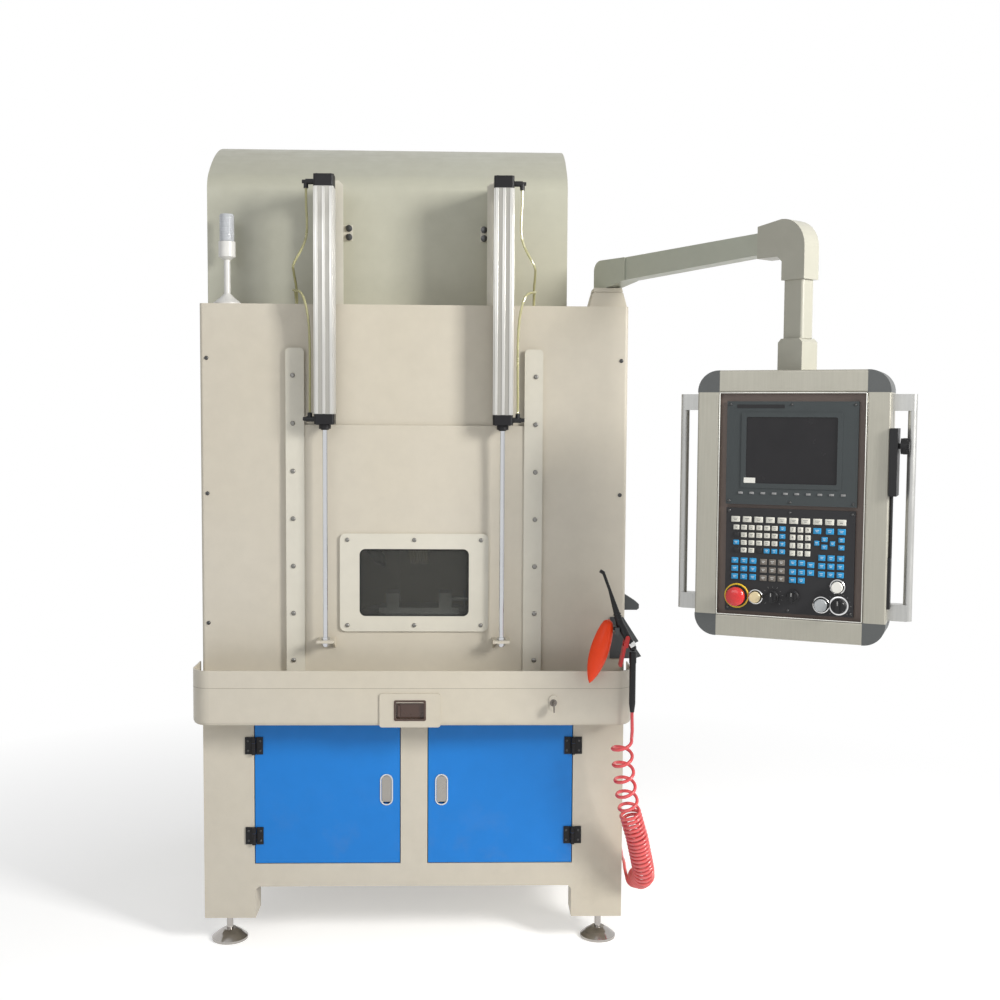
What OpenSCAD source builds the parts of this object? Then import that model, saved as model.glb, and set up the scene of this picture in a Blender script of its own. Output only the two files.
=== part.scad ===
// Rotary polishing machine: a sheet metal cabinet with a lifting front door, an
// operator panel on a swivel arm, an air gun on a coiled hose, and a polishing
// head above a rotary table inside. Lengths are millimetres, angles degrees.
// X points right, Y points back and Z points up. The shapes are drawn about the
// middle of the front face, and the origin is the sole of the front left foot.

/* [Cabinet] */
// Width of the enclosure and the base
body_w = 1020; // [980:5:1100]
// Depth of the enclosure and the base
body_d = 900; // [860:5:1100]
// Height of the enclosure
body_h = 991; // [970:1:1060]
// Height of the base
base_h = 500; // [470:5:560]
// Height of the legs' undersides above the floor
foot_clear = 70; // [60:1:100]
// Thickness of the sheet metal
sheet = 3; // [2:0.5:4]

/* [Base] */
// Width of each side member of the base frame
side_w = 122.5; // [110:0.5:135]
// Width of the post between the cabinet doors
post_w = 65; // [50:1:80]
// Height of the rail under the cabinet doors
sill_h = 57; // [40:1:70]
// Height of the open gap between the legs
leg_gap = 78; // [60:1:100]
// Width of each leg at the floor
leg_w = 124; // [118:1:150]
// Depth of the frame members
frame_d = 80; // [70:1:100]
// Height of the rail above the cabinet doors
head_h = 12; // [8:1:20]
// Thickness of a cabinet door
cab_door_t = 18; // [15:1:24]
// Gap around a cabinet door
door_gap = 2; // [1.5:0.5:3]

/* [Feet] */
// Diameter of a levelling foot
foot_d = 88; // [70:1:100]
// Diameter of its threaded stem
stem_d = 16; // [12:1:20]
// Distance of a foot from the side of the base
foot_in_x = 52; // [48:1:60]
// Distance of a foot from the front or back
foot_in_y = 50; // [48:1:60]

/* [Tray] */
// How far the tray stands out in front
tray_out = 100; // [80:1:120]
// How far the tray stands out at each side
tray_over = 10; // [8:1:16]
// Height of the tray and its skirt
tray_h = 131; // [120:1:150]
// Depth of the open trough
trough_h = 42; // [35:1:50]
// Radius of the tray's upright corners
tray_r = 45; // [30:1:60]

/* [Hood] */
// Width of the hood
hood_w = 880; // [840:5:900]
// How far the hood is set back from the front
hood_y = 105; // [100:1:130]
// Height of the hood's upright front
hood_wall = 282; // [270:1:330]
// Radius of the bend above the upright front
hood_bend_r = 60; // [40:1:80]
// Radius of the crowned roof
hood_roof_r = 420; // [380:5:460]

/* [Lifting door] */
// Width of the lifting door
door_w = 540; // [500:2:580]
// Height of the lifting door
door_h = 599; // [580:1:610]
// Thickness of the lifting door
door_t = 6; // [4:0.5:8]
// Height of the closed door's lower edge above the base
door_up = 106; // [104:1:110]
// Width of the opening behind the door
opening_w = 470; // [420:2:480]
// Height of the opening behind the door
opening_h = 540; // [500:2:545]
// Width of a guide rail
rail_w = 44; // [40:1:50]
// Thickness of a guide rail
rail_t = 12; // [11:0.5:14]
// Height of a guide rail
rail_h = 795; // [760:1:820]
// Depth of the groove in a guide rail
groove_d = 8.5; // [6:0.5:10]

/* [Window] */
// Width of the window frame
window_w = 356; // [320:2:364]
// Height of the window frame
window_h = 236; // [200:2:240]
// Width of the frame's side borders
window_rim = 47; // [35:1:50]
// Width of its upper and lower borders
window_rim_h = 37; // [30:1:45]
// Thickness of the window frame
window_t = 6; // [4:0.5:8]
// Height of the window's middle above the door's lower edge
window_up = 222; // [205:1:240]
// Thickness of the glass
glass_t = 5; // [3:0.5:5]

/* [Cylinders] */
// Distance between the two cylinders
cyl_span = 418; // [412:1:440]
// Width of the square cylinder profile
cyl_w = 47; // [44:1:50]
// Bore of a cylinder
cyl_bore = 32; // [25:1:32]
// Diameter of a piston rod
rod_d = 12; // [10:1:14]
// Height of the cylinders' tops above the enclosure
cyl_up = 293; // [285:1:320]
// Height of the upper cap
cap_top_h = 27; // [24:1:30]
// Height of the lower cap
cap_low_h = 23; // [20:1:26]
// Distance of a cylinder's axis in front of the enclosure
cyl_out = 45; // [44:1:55]

/* [Arm] */
// Width of the pedestal at its foot
pedestal_w = 90; // [80:1:92]
// Height of the pedestal
pedestal_h = 47; // [40:1:60]
// Distance from the arm's swivel to the panel's swivel
arm_l = 575; // [560:5:640]
// Direction of the arm in front of the machine's right
arm_yaw = 52.5; // [48:0.5:60]
// Height of the arm tube at its root
arm_h = 53; // [46:1:60]
// Height of the arm tube at its end
arm_end_h = 46; // [40:1:52]
// Width of the arm tube
arm_w = 38; // [32:1:44]
// Diameter of both swivel pins
swivel_d = 30; // [24:1:34]
// Length of the drop tube
drop_l = 121; // [110:1:140]

/* [Operator panel] */
// Width of the operator panel
panel_w = 392; // [380:2:420]
// Height of the operator panel
panel_h = 560; // [545:5:600]
// Depth of the operator panel
panel_d = 95; // [85:1:110]
// Width of its aluminium frame
profile_w = 46; // [42:1:48]
// Direction the panel is turned to the left
panel_yaw = 24; // [0:1:40]
// Width of the display unit
display_w = 268; // [250:1:276]
// Height of the display unit
display_h = 215; // [200:1:220]
// Width of the keyboard unit
keyboard_w = 264; // [262:1:276]
// Height of the keyboard unit
keyboard_h = 217; // [215:1:222]
// Diameter of the emergency stop head
stop_d = 40; // [32:1:42]

/* [Polishing head] */
// Diameter of the buffing wheel
wheel_d = 280; // [200:5:300]
// Width of the buffing wheel
wheel_w = 50; // [30:1:56]
// Diameter of the spindle
spindle_d = 30; // [25:1:40]
// Height of the spindle above the bed
spindle_up = 388; // [380:1:420]
// Diameter of the rotary table
table_d = 320; // [280:5:360]
// Height of the table's top above the bed
table_up = 122; // [110:1:125]
// Distance of the table's middle from the front
table_y = 350; // [330:5:380]

/* [Dust outlet and air] */
// Outer diameter of the dust spigot
spigot_d = 150; // [120:1:160]
// Diameter of the air hose
hose_d = 8; // [6:0.5:8]
// Outer diameter of the hose's coils
coil_d = 54; // [50:1:56]

/* [Hidden] */
$fn = 48;

// Shared clearances and overruns
overrun = 1;
seat_gap = 0.3;
run_gap = 0.4;
fit_gap = 0.05;

// Colours
cream = "#d8d2c2";
blue = "#1466b4";
dark = "#26282a";
silver = "#c4c8cb";
taupe = "#6b5d52";
slate = "#43484c";
steel = "#8b9094";

// Heights of the main levels
base_z = foot_clear;
base_top = foot_clear + base_h;
body_top = base_top + body_h;
sill_z = base_z + leg_gap;
doorway_z = sill_z + sill_h;
doorway_top = base_top - head_h;
doorway_w = body_w / 2 - side_w - post_w / 2;
half_w = body_w / 2;
origin_shift = [half_w - foot_in_x, -foot_in_y, 0];

// Small sizes of the base
leg_chamfer = 8;
nut_h = 10;
nut_d = 28;
stem_in = 26;
sole_h = 6;
crown_h = 18;
neck_h = 26;

// Small sizes of the enclosure and tray
body_r = 8;
opening_up = 138;
tray_back = 20;
edge_r = 12;
edge_steps = 4;
roof_turn = 42;
hood_left = -half_w;
hatch_in = 30;
spigot_l = 60;
spigot_up = 760;
air_bore_d = 13;
air_boss_d = 26;
air_boss_l = 24;
air_up = 226;
vent_l = 120;
vent_h = 6;
vent_pitch = 18;
vent_rows = 6;

module along_y(y0, t) {
    translate([0, y0 + t, 0])
        rotate([90, 0, 0])
            linear_extrude(t)
                children();
}

module along_x(x0, l) {
    translate([x0, 0, 0])
        rotate([90, 0, 90])
            linear_extrude(l)
                children();
}

module block(x0, x1, y0, y1, z0, z1) {
    translate([x0, y0, z0])
        cube([x1 - x0, y1 - y0, z1 - z0]);
}

module rod_x(x0, x1, y, z, d) {
    translate([x0, y, z])
        rotate([0, 90, 0])
            cylinder(d = d, h = x1 - x0);
}

module rod_y(x, y0, y1, z, d) {
    translate([x, y1, z])
        rotate([90, 0, 0])
            cylinder(d = d, h = y1 - y0);
}

module rounded_plate(w, h, r) {
    square([w - 2 * r, h], center = true);
    square([w, h - 2 * r], center = true);
    for (sx = [-1, 1], sy = [-1, 1])
        translate([sx * (w / 2 - r), sy * (h / 2 - r)])
            circle(r);
}

module both_sides() {
    children();
    mirror([1, 0, 0])
        children();
}

function arc(c, r, a0, a1, n) =
    [for (i = [0:n]) let (a = a0 + (a1 - a0) * i / n) [c[0] + r * cos(a), c[1] + r * sin(a)]];

// Base

module frame_outline() {
    difference() {
        translate([-half_w, base_z])
            square([body_w, base_h]);
        polygon([
            [leg_w - half_w, base_z - overrun],
            [half_w - leg_w, base_z - overrun],
            [half_w - leg_w, sill_z - leg_chamfer],
            [half_w - leg_w - leg_chamfer, sill_z],
            [leg_w - half_w + leg_chamfer, sill_z],
            [leg_w - half_w, sill_z - leg_chamfer]
        ]);
        for (s = [-1, 1])
            translate([s * (post_w + doorway_w) / 2, (doorway_z + doorway_top) / 2])
                square([doorway_w, doorway_top - doorway_z], center = true);
    }
}

// The channel that each folded member leaves open at its back
module frame_hollow(y0, y1) {
    both_sides()
        block(half_w - side_w + sheet, half_w - sheet, y0, y1, base_z + sheet, base_top - sheet);
    block(sheet - post_w / 2, post_w / 2 - sheet, y0, y1, doorway_z, base_top - sheet);
    block(sheet - half_w, half_w - sheet, y0, y1, sill_z + sheet, doorway_z - sheet);
}

module base_frame() color(cream) {
    difference() {
        along_y(0, frame_d)
            frame_outline();
        frame_hollow(sheet, frame_d + overrun);
        foot_places()
            translate([0, 0, base_z - overrun])
                cylinder(d = stem_d + 2 * seat_gap, h = sheet + 2 * overrun);
    }
    difference() {
        along_y(body_d - frame_d, frame_d)
            frame_outline();
        frame_hollow(body_d - frame_d - overrun, body_d - sheet);
        foot_places()
            translate([0, 0, base_z - overrun])
                cylinder(d = stem_d + 2 * seat_gap, h = sheet + 2 * overrun);
    }
}

module foot_places() {
    for (sx = [-1, 1], y = [foot_in_y, body_d - foot_in_y])
        translate([sx * (half_w - foot_in_x), y, 0])
            children();
}

module leveling_feet() color(silver) {
    foot_places() {
        rotate_extrude()
            polygon([
                [0, 0], [foot_d / 2, 0], [foot_d / 2, sole_h], [foot_d / 3, crown_h],
                [stem_d, neck_h], [stem_d / 2, neck_h], [stem_d / 2, base_z + stem_in],
                [0, base_z + stem_in]
            ]);
        translate([0, 0, base_z - nut_h])
            cylinder(d = nut_d, h = nut_h, $fn = 6);
    }
}

module base_panels() color(cream) {
    y0 = frame_d;
    y1 = body_d - frame_d;
    both_sides()
        block(half_w - sheet, half_w, y0, y1, sill_z, base_top);
    block(sheet - half_w, half_w - sheet, y0, y1, sill_z, sill_z + sheet);
    difference() {
        block(sheet - half_w, half_w - sheet, y0, y1, base_top - sheet, base_top);
        block(-half_w / 2, half_w / 2, y1 - frame_d, y1 - sheet, base_top - sheet - overrun,
            base_top + overrun);
    }
    for (s = [-1, 1])
        difference() {
            x0 = s * (post_w + doorway_w) / 2 - doorway_w / 2;
            block(x0, x0 + doorway_w, body_d - sheet, body_d, doorway_z, doorway_top);
            for (i = [0:vent_rows - 1])
                translate([x0 + doorway_w / 2, 0, doorway_z + vent_pitch * (i + 2)])
                    along_y(body_d - sheet - overrun, sheet + 2 * overrun)
                        rounded_plate(vent_l, vent_h, vent_h / 3);
            if (s > 0)
                rod_y(x0 + doorway_w / 2, body_d - sheet - overrun, body_d + overrun, base_z + air_up, air_bore_d);
        }
    difference() {
        x = (post_w + doorway_w) / 2;
        rod_y(x, body_d, body_d + air_boss_l, base_z + air_up, air_boss_d);
        rod_y(x, body_d - overrun, body_d + air_boss_l + overrun, base_z + air_up, air_bore_d);
    }
}

// Cabinet doors, hinges and latches

hinge_w = 43;
hinge_h = 42;
hinge_t = 3;
knuckle_d = 10;
hinge_pin_d = 5;
hinge_out = 6;
hinge_up_shares = [0.2, 0.83];
hinge_x = half_w - side_w;
latch_w = 24;
latch_h = 70;
latch_x = 67;
latch_up_share = 0.52;
latch_wall = 2;
latch_deep = 12;
latch_t = 4;
latch_pin_d = 4;
latch_z = doorway_z + (doorway_top - doorway_z) * latch_up_share + latch_h / 2;
door_skin = 2;

function hinge_z(k) = doorway_z + (doorway_top - doorway_z) * hinge_up_shares[k];

module cabinet_door() {
    x0 = post_w / 2 + door_gap;
    x1 = half_w - side_w - door_gap;
    z0 = doorway_z + door_gap;
    z1 = doorway_top - door_gap;
    mid = latch_z - latch_h / 2;
    cup_w = latch_w + 2 * latch_wall;
    cup_h = latch_h + 2 * latch_wall;
    difference() {
        union() {
            difference() {
                block(x0, x1, 0, cab_door_t, z0, z1);
                block(x0 + door_skin, x1 - door_skin, door_skin, cab_door_t + overrun,
                    z0 + door_skin, z1 - door_skin);
            }
            block(latch_x - cup_w / 2, latch_x + cup_w / 2, door_skin / 2, latch_deep + latch_wall,
                mid - cup_h / 2, mid + cup_h / 2);
        }
        block(latch_x - latch_w / 2, latch_x + latch_w / 2, -overrun, latch_deep,
            mid - latch_h / 2, mid + latch_h / 2);
        rod_x(latch_x - cup_w / 2 - overrun, latch_x + cup_w / 2 + overrun, latch_deep / 2,
            latch_z - latch_t, latch_pin_d + 2 * fit_gap);
    }
    for (k = [0, 1])
        difference() {
            union() {
                block(hinge_x - hinge_w / 2, hinge_x - seat_gap - knuckle_d / 2, -hinge_t, 0,
                    hinge_z(k) - hinge_h / 2, hinge_z(k) + hinge_h / 2);
                translate([hinge_x, -hinge_out, hinge_z(k) - hinge_h / 6])
                    cylinder(d = knuckle_d, h = hinge_h / 3);
                block(hinge_x - knuckle_d, hinge_x, -hinge_t, -hinge_t / 3,
                    hinge_z(k) - hinge_h / 6, hinge_z(k) + hinge_h / 6);
            }
            translate([hinge_x, -hinge_out, hinge_z(k) - hinge_h])
                cylinder(d = hinge_pin_d + 2 * fit_gap, h = 2 * hinge_h);
        }
}

module right_cabinet_door() color(blue) {
    cabinet_door();
}

module left_cabinet_door() color(blue) {
    mirror([1, 0, 0])
        cabinet_door();
}

module hinge_plates() color(dark) {
    both_sides()
        for (k = [0, 1]) {
            knuckle_h = hinge_h / 3 - seat_gap;
            block(hinge_x + knuckle_d / 2, hinge_x + hinge_w / 2, -hinge_t, 0,
                hinge_z(k) - hinge_h / 2, hinge_z(k) + hinge_h / 2);
            for (s = [-1, 1]) {
                z0 = s > 0 ? hinge_z(k) + hinge_h / 2 - knuckle_h : hinge_z(k) - hinge_h / 2;
                translate([hinge_x, -hinge_out, z0])
                    cylinder(d = knuckle_d, h = knuckle_h);
                block(hinge_x, hinge_x + knuckle_d, -hinge_t, -hinge_t / 3, z0, z0 + knuckle_h);
            }
            translate([hinge_x, -hinge_out, hinge_z(k) - hinge_h / 2])
                cylinder(d = hinge_pin_d, h = hinge_h);
        }
}

module latch_paddle() {
    mid_x = latch_x;
    pivot = [latch_deep / 2, latch_z - latch_t];
    half = latch_w / 2 - run_gap;
    rod_x(mid_x - latch_w / 2 - latch_wall, mid_x + latch_w / 2 + latch_wall, pivot[0], pivot[1],
        latch_pin_d);
    along_x(mid_x - half, 2 * half)
        polygon(concat(
            arc(pivot, latch_t - run_gap, 0, 180, 10),
            [[pivot[0] - latch_t + run_gap, latch_z - latch_h + latch_t],
            [pivot[0] + latch_t / 2, latch_z - latch_h + latch_t],
            [pivot[0] + latch_t / 2, latch_z - 2 * latch_t]]
        ));
}

module right_latch() color(silver) {
    latch_paddle();
}

module left_latch() color(silver) {
    mirror([1, 0, 0])
        latch_paddle();
}

// Electrical plate inside the base

plate_w = 840;
plate_t = 3;
plate_in = 20;
drive_w = 90;
drive_h = 180;
drive_d = 150;
breaker_w = 18;
breaker_h = 80;
breaker_d = 65;
breaker_count = 10;
duct_h = 30;
duct_d = 50;

module control_plate() color(steel) {
    y1 = body_d - frame_d;
    z0 = sill_z + sheet + plate_in;
    z1 = doorway_top - plate_in;
    block(-plate_w / 2, plate_w / 2, y1 - plate_t, y1, z0, z1);
    for (s = [-2, -1, 1])
        block(s * (drive_w + plate_in) - drive_w / 2, s * (drive_w + plate_in) + drive_w / 2,
            y1 - plate_t - drive_d, y1 - plate_t, z0 + plate_in, z0 + plate_in + drive_h);
    block(-plate_w / 2 + plate_in, plate_w / 2 - plate_in, y1 - plate_t - duct_d, y1 - plate_t,
        z0 + 2 * plate_in + drive_h, z0 + 2 * plate_in + drive_h + duct_h);
    for (i = [0:breaker_count - 1])
        translate([-plate_w / 3 + i * (breaker_w + overrun), 0, 0])
            block(0, breaker_w, y1 - plate_t - breaker_d, y1 - plate_t, z1 - breaker_h - plate_in,
                z1 - plate_in);
}

// Enclosure, hood and tray

drawer_x = -6;
drawer_w = 124;
drawer_l = 340;
drawer_h = 68;
drawer_wall = 2;
drawer_face_w = 143;
drawer_face_h = 80;
drawer_face_t = 3;
drawer_slot = 2;

function roof_start() = body_top + hood_wall;

function hood_points(inset) =
    let (
        c1 = [hood_y + hood_bend_r, roof_start()],
        a1 = 90 + roof_turn,
        c2 = c1 + (hood_bend_r - hood_roof_r) * [cos(a1), sin(a1)],
        z0 = body_top - (inset > 0 ? overrun : 0)
    )
    concat(
        [[hood_y + inset, z0]],
        arc(c1, hood_bend_r - inset, 180, a1, 8),
        arc(c2, hood_roof_r - inset, a1, 90, 12),
        [[body_d - inset, c2[1] + hood_roof_r - inset], [body_d - inset, z0]]
    );

module hood() color(cream) {
    difference() {
        along_x(hood_left, hood_w)
            polygon(hood_points(0));
        along_x(hood_left + sheet, hood_w - 2 * sheet)
            polygon(hood_points(sheet));
    }
}

module enclosure() color(cream) {
    hatch_x1 = hood_left + hood_w - hatch_in;
    difference() {
        translate([0, body_d / 2, base_top])
            linear_extrude(body_h)
                rounded_plate(body_w, body_d, body_r);
        translate([0, body_d / 2, base_top - overrun])
            linear_extrude(body_h + overrun - sheet)
                rounded_plate(body_w - 2 * sheet, body_d - 2 * sheet, body_r - sheet);
        block(-opening_w / 2, opening_w / 2, -overrun, sheet + overrun, base_top + opening_up,
            base_top + opening_up + opening_h);
        block(drawer_x - drawer_w / 2 - drawer_slot, drawer_x + drawer_w / 2 + drawer_slot,
            -overrun, sheet + overrun, base_top - overrun, base_top + drawer_h + drawer_slot);
        block(hood_left + hatch_in, hatch_x1, hood_y + hatch_in, body_d - hatch_in,
            body_top - sheet - overrun, body_top + overrun);
        rod_y(0, body_d - sheet - overrun, body_d + overrun, base_top + spigot_up, spigot_d - 2 * sheet);
    }
    difference() {
        rod_y(0, body_d + seat_gap, body_d + spigot_l, base_top + spigot_up, spigot_d);
        rod_y(0, body_d, body_d + spigot_l + overrun, base_top + spigot_up, spigot_d - 2 * sheet);
    }
}

module tray_outline(inset) {
    r = tray_r - inset;
    x = half_w + tray_over - inset;
    y = inset - tray_out;
    translate([-x, y + r])
        square([2 * x, tray_out + tray_back - inset - r]);
    translate([r - x, y])
        square([2 * (x - r), tray_out + tray_back - inset]);
    for (s = [-1, 1])
        translate([s * (x - r), y + r])
            circle(r);
}

lock_x = 331;
lock_w = 20;
lock_h = 36;
lock_t = 3;
lock_body_d = 18;
lock_body_l = 22;
lock_up = 56;
key_d = 6;
key_bow = 24;
key_t = 2.5;
key_l = 16;

module tray() {
    floor_z = base_top + tray_h - trough_h;
    color(cream)
        difference() {
            union() {
                translate([0, 0, base_top + edge_r])
                    linear_extrude(tray_h - edge_r)
                        tray_outline(0);
                for (k = [0:edge_steps - 1]) {
                    a0 = 90 * k / edge_steps;
                    a1 = 90 * (k + 1) / edge_steps;
                    translate([0, 0, base_top + edge_r * (1 - sin(a1))])
                        linear_extrude(edge_r * (sin(a1) - sin(a0)) + overrun / 2)
                            tray_outline(edge_r * (1 - cos((a0 + a1) / 2)));
                }
            }
            translate([0, 0, floor_z])
                linear_extrude(tray_h)
                    tray_outline(sheet);
            translate([0, 0, base_top + edge_r])
                linear_extrude(floor_z - sheet - base_top - edge_r)
                    tray_outline(edge_r);
            block(-half_w - seat_gap, half_w + seat_gap, 0, tray_back + overrun,
                base_top - overrun, base_top + tray_h + overrun);
            block(-half_w, half_w, -edge_r, overrun, base_top + edge_r, floor_z - sheet);
            block(drawer_x - drawer_w / 2 - drawer_slot, drawer_x + drawer_w / 2 + drawer_slot,
                -tray_out - overrun, overrun, base_top - overrun, base_top + drawer_h + drawer_slot);
            rod_y(lock_x, -tray_out - overrun, edge_r - tray_out + overrun, base_top + lock_up,
                lock_body_d);
        }
    color(dark)
        difference() {
            union() {
                translate([lock_x, 0, base_top + lock_up])
                    along_y(-tray_out - lock_t, lock_t)
                        rounded_plate(lock_w, lock_h, lock_w / 2 - seat_gap);
                rod_y(lock_x, -tray_out, lock_body_l - tray_out, base_top + lock_up, lock_body_d);
            }
            rod_y(lock_x, -tray_out - lock_t - overrun, lock_body_l - tray_out - lock_t,
                base_top + lock_up, key_d + 2 * fit_gap);
        }
}

module lock_key() color(silver) {
    z = base_top + lock_up;
    rod_y(lock_x, -tray_out - key_l, lock_body_l / 2 - tray_out, z, key_d);
    difference() {
        translate([lock_x, -tray_out - key_l, z - key_bow / 4])
            rotate([0, 90, 0])
                translate([0, 0, -key_t / 2])
                    linear_extrude(key_t)
                        translate([0, -key_bow / 3])
                            rounded_plate(key_bow, key_bow * 2 / 3 + key_t, key_bow / 4);
        translate([lock_x, -tray_out - key_l - key_bow / 2, z - key_bow / 4])
            rod_x(-key_t, key_t, 0, 0, key_bow / 4);
    }
}

pull_w = 74;
pull_h = 48;
pull_deep = 10;

module dust_drawer() {
    z0 = base_top + run_gap;
    y0 = -tray_out - seat_gap;
    color(cream)
        difference() {
            union() {
                translate([drawer_x, 0, base_top - drawer_wall + drawer_face_h / 2])
                    along_y(y0 - drawer_face_t, drawer_face_t)
                        rounded_plate(drawer_face_w, drawer_face_h, drawer_face_t * 2);
                difference() {
                    block(drawer_x - drawer_w / 2, drawer_x + drawer_w / 2, y0, y0 + drawer_l, z0,
                        z0 + drawer_h - drawer_slot);
                    block(drawer_x - drawer_w / 2 + drawer_wall, drawer_x + drawer_w / 2 - drawer_wall,
                        y0 + 2 * pull_deep, y0 + drawer_l - drawer_wall, z0 + drawer_wall,
                        z0 + drawer_h);
                }
            }
            translate([drawer_x, 0, base_top - drawer_wall + drawer_face_h / 2])
                along_y(y0 - drawer_face_t - overrun, drawer_face_t + pull_deep + overrun)
                    rounded_plate(pull_w, pull_h, drawer_face_t);
        }
    color("#4a2f22")
        difference() {
            translate([drawer_x, 0, base_top - drawer_wall + drawer_face_h / 2])
                along_y(y0 - drawer_face_t, drawer_face_t + pull_deep)
                    rounded_plate(pull_w - overrun / 2, pull_h - overrun / 2, drawer_face_t);
            translate([drawer_x, 0, base_top - drawer_wall + drawer_face_h / 2 - drawer_wall])
                along_y(y0 - drawer_face_t - overrun, drawer_face_t + pull_deep + overrun - drawer_wall)
                    rounded_plate(pull_w - 4 * drawer_wall, pull_h - 4 * drawer_wall, drawer_wall);
        }
}

// Lifting door, rails and window

door_z = base_top + door_up;
door_top = door_z + door_h;
rail_in = 8;
rail_r = 10;
lip_t = rail_t / 3;
door_front = -rail_t + lip_t + run_gap;
rail_x = door_w / 2 + run_gap - groove_d;
corner_r = 4;
window_r = 14;
glass_in = 10;
window_z = door_z + window_up;
lug_w = 40;
lug_t = 6;
lug_out = 17;
lug_up = 83;
lug_z = door_z + lug_up;
gusset_t = 4;
gusset_h = 26;

module guide_rails() color(cream) {
    both_sides()
        difference() {
            translate([rail_x + rail_w / 2, 0, base_top + tray_h - trough_h + sheet + rail_h / 2])
                along_y(-rail_t, rail_t)
                    rounded_plate(rail_w, rail_h, rail_r);
            block(rail_x - overrun, rail_x + groove_d, lip_t - rail_t, overrun, base_top,
                body_top);
        }
}

module window_hole(grow, r) {
    translate([0, 0, window_z])
        along_y(-rail_t, rail_t)
            rounded_plate(window_w - 2 * window_rim + grow, window_h - 2 * window_rim_h + grow, r);
}

module lifting_door() color(cream) {
    difference() {
        translate([0, 0, door_z + door_h / 2])
            along_y(door_front, door_t)
                rounded_plate(door_w, door_h, corner_r);
        window_hole(2 * glass_in + 2 * seat_gap, window_r + seat_gap);
    }
    both_sides()
        difference() {
            union() {
                block(cyl_span / 2 - lug_w / 2, cyl_span / 2 + lug_w / 2, -cyl_out - lug_out,
                    door_front, lug_z, lug_z + lug_t);
                along_x(cyl_span / 2 - lug_w / 2, gusset_t)
                    polygon([
                        [door_front, lug_z + lug_t - gusset_h], [door_front, lug_z + lug_t],
                        [-cyl_out, lug_z + lug_t], [-cyl_out, lug_z]
                    ]);
            }
            translate([cyl_span / 2, -cyl_out, lug_z - overrun])
                cylinder(d = rod_d + 2 * fit_gap, h = lug_t + 2 * overrun);
        }
}

module window_frame() color(cream) {
    difference() {
        translate([0, 0, window_z])
            along_y(door_front - window_t, window_t)
                rounded_plate(window_w, window_h, window_r);
        translate([0, -window_t - overrun, 0])
            window_hole(0, window_r);
    }
}

module window_glass() color("#5f6a6c", 0.5) {
    translate([0, 0, window_z])
        along_y(door_front, glass_t)
            rounded_plate(window_w - 2 * window_rim + 2 * glass_in,
                window_h - 2 * window_rim_h + 2 * glass_in, window_r);
}

// Cylinders that lift the door

cyl_z = door_top + 2;
barrel_z = cyl_z + cap_low_h;
cyl_top = body_top + cyl_up;
cap_z = cyl_top - cap_top_h;
barrel_l = cap_z - barrel_z;
cap_r = 6;
boss_h = 11;
boss_d = 28;
piston_h = 18;
end_gap = 2;
rod_low = 10;
rod_nut_d = 20;
rod_nut_h = 7;
slot_w = 6;
slot_d = 4;
lug_width = 20;
lug_back = 18;
pivot_d = 8;
pivot_y = 8;

module cylinders() {
    both_sides()
        translate([cyl_span / 2, -cyl_out, 0])
            children();
}

module cylinder_barrels() color(silver) {
    cylinders()
        translate([0, 0, barrel_z])
            linear_extrude(barrel_l)
                difference() {
                    rounded_plate(cyl_w - overrun, cyl_w - overrun, cap_r);
                    circle(d = cyl_bore);
                    for (a = [0:90:270])
                        rotate(a)
                            translate([cyl_w / 2 - slot_d, -slot_w / 2])
                                square([slot_d, slot_w]);
                }
}

module cylinder_caps() color(dark) {
    cylinders() {
        difference() {
            union() {
                translate([0, 0, cyl_z])
                    linear_extrude(cap_low_h)
                        rounded_plate(cyl_w, cyl_w, cap_r);
                translate([0, 0, cyl_z - boss_h])
                    cylinder(d = boss_d, h = boss_h);
            }
            translate([0, 0, cyl_z - boss_h - overrun])
                cylinder(d = rod_d + 2 * fit_gap, h = cap_low_h + boss_h + 2 * overrun);
        }
        difference() {
            union() {
                translate([0, 0, cap_z])
                    linear_extrude(cap_top_h)
                        rounded_plate(cyl_w, cyl_w, cap_r);
                block(seat_gap - lug_width / 2, lug_width / 2, 0, cyl_out + lug_back, cap_z,
                    cyl_top);
            }
            rod_x(-lug_width, lug_width, cyl_out + pivot_y, (cap_z + cyl_top) / 2,
                pivot_d + 2 * fit_gap);
        }
    }
}

module piston_rods() color(silver) {
    cylinders() {
        top = barrel_z + end_gap + piston_h;
        translate([0, 0, lug_z - rod_low])
            cylinder(d = rod_d, h = top - lug_z + rod_low);
        translate([0, 0, barrel_z + end_gap])
            cylinder(d = cyl_bore - 2 * fit_gap, h = piston_h);
        for (z = [lug_z - rod_nut_h, lug_z + lug_t])
            translate([0, 0, z])
                cylinder(d = rod_nut_d, h = rod_nut_h, $fn = 6);
    }
}

bracket_w = 28;
bracket_y = 14;
bracket_cut = 10;
ear_h = 36;
ear_front = -4;
tab_out = 26;
tab_h = 37;
tab_up_share = 0.56;

module cylinder_brackets() color(cream) {
    x1 = cyl_span / 2 - lug_width / 2;
    z1 = cyl_top - overrun;
    both_sides() {
        along_x(x1 - sheet, sheet)
            polygon([
                [bracket_y, body_top], [hood_y, body_top], [hood_y, z1], [ear_front, z1],
                [ear_front, z1 - ear_h], [bracket_y, z1 - ear_h - bracket_y]
            ]);
        along_y(bracket_y, sheet)
            polygon([
                [x1 - bracket_w, body_top], [x1 - sheet, body_top], [x1 - sheet, z1],
                [x1 - bracket_w + bracket_cut, z1], [x1 - bracket_w, z1 - bracket_cut]
            ]);
        block(x1 - sheet - tab_out - bracket_w / 2, x1 - sheet, hood_y - sheet, hood_y,
            body_top + (z1 - body_top) * tab_up_share, body_top + (z1 - body_top) * tab_up_share + tab_h);
        rod_x(x1, x1 + lug_width + 2 * sheet, pivot_y, (cap_z + cyl_top) / 2, pivot_d);
    }
}

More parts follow.
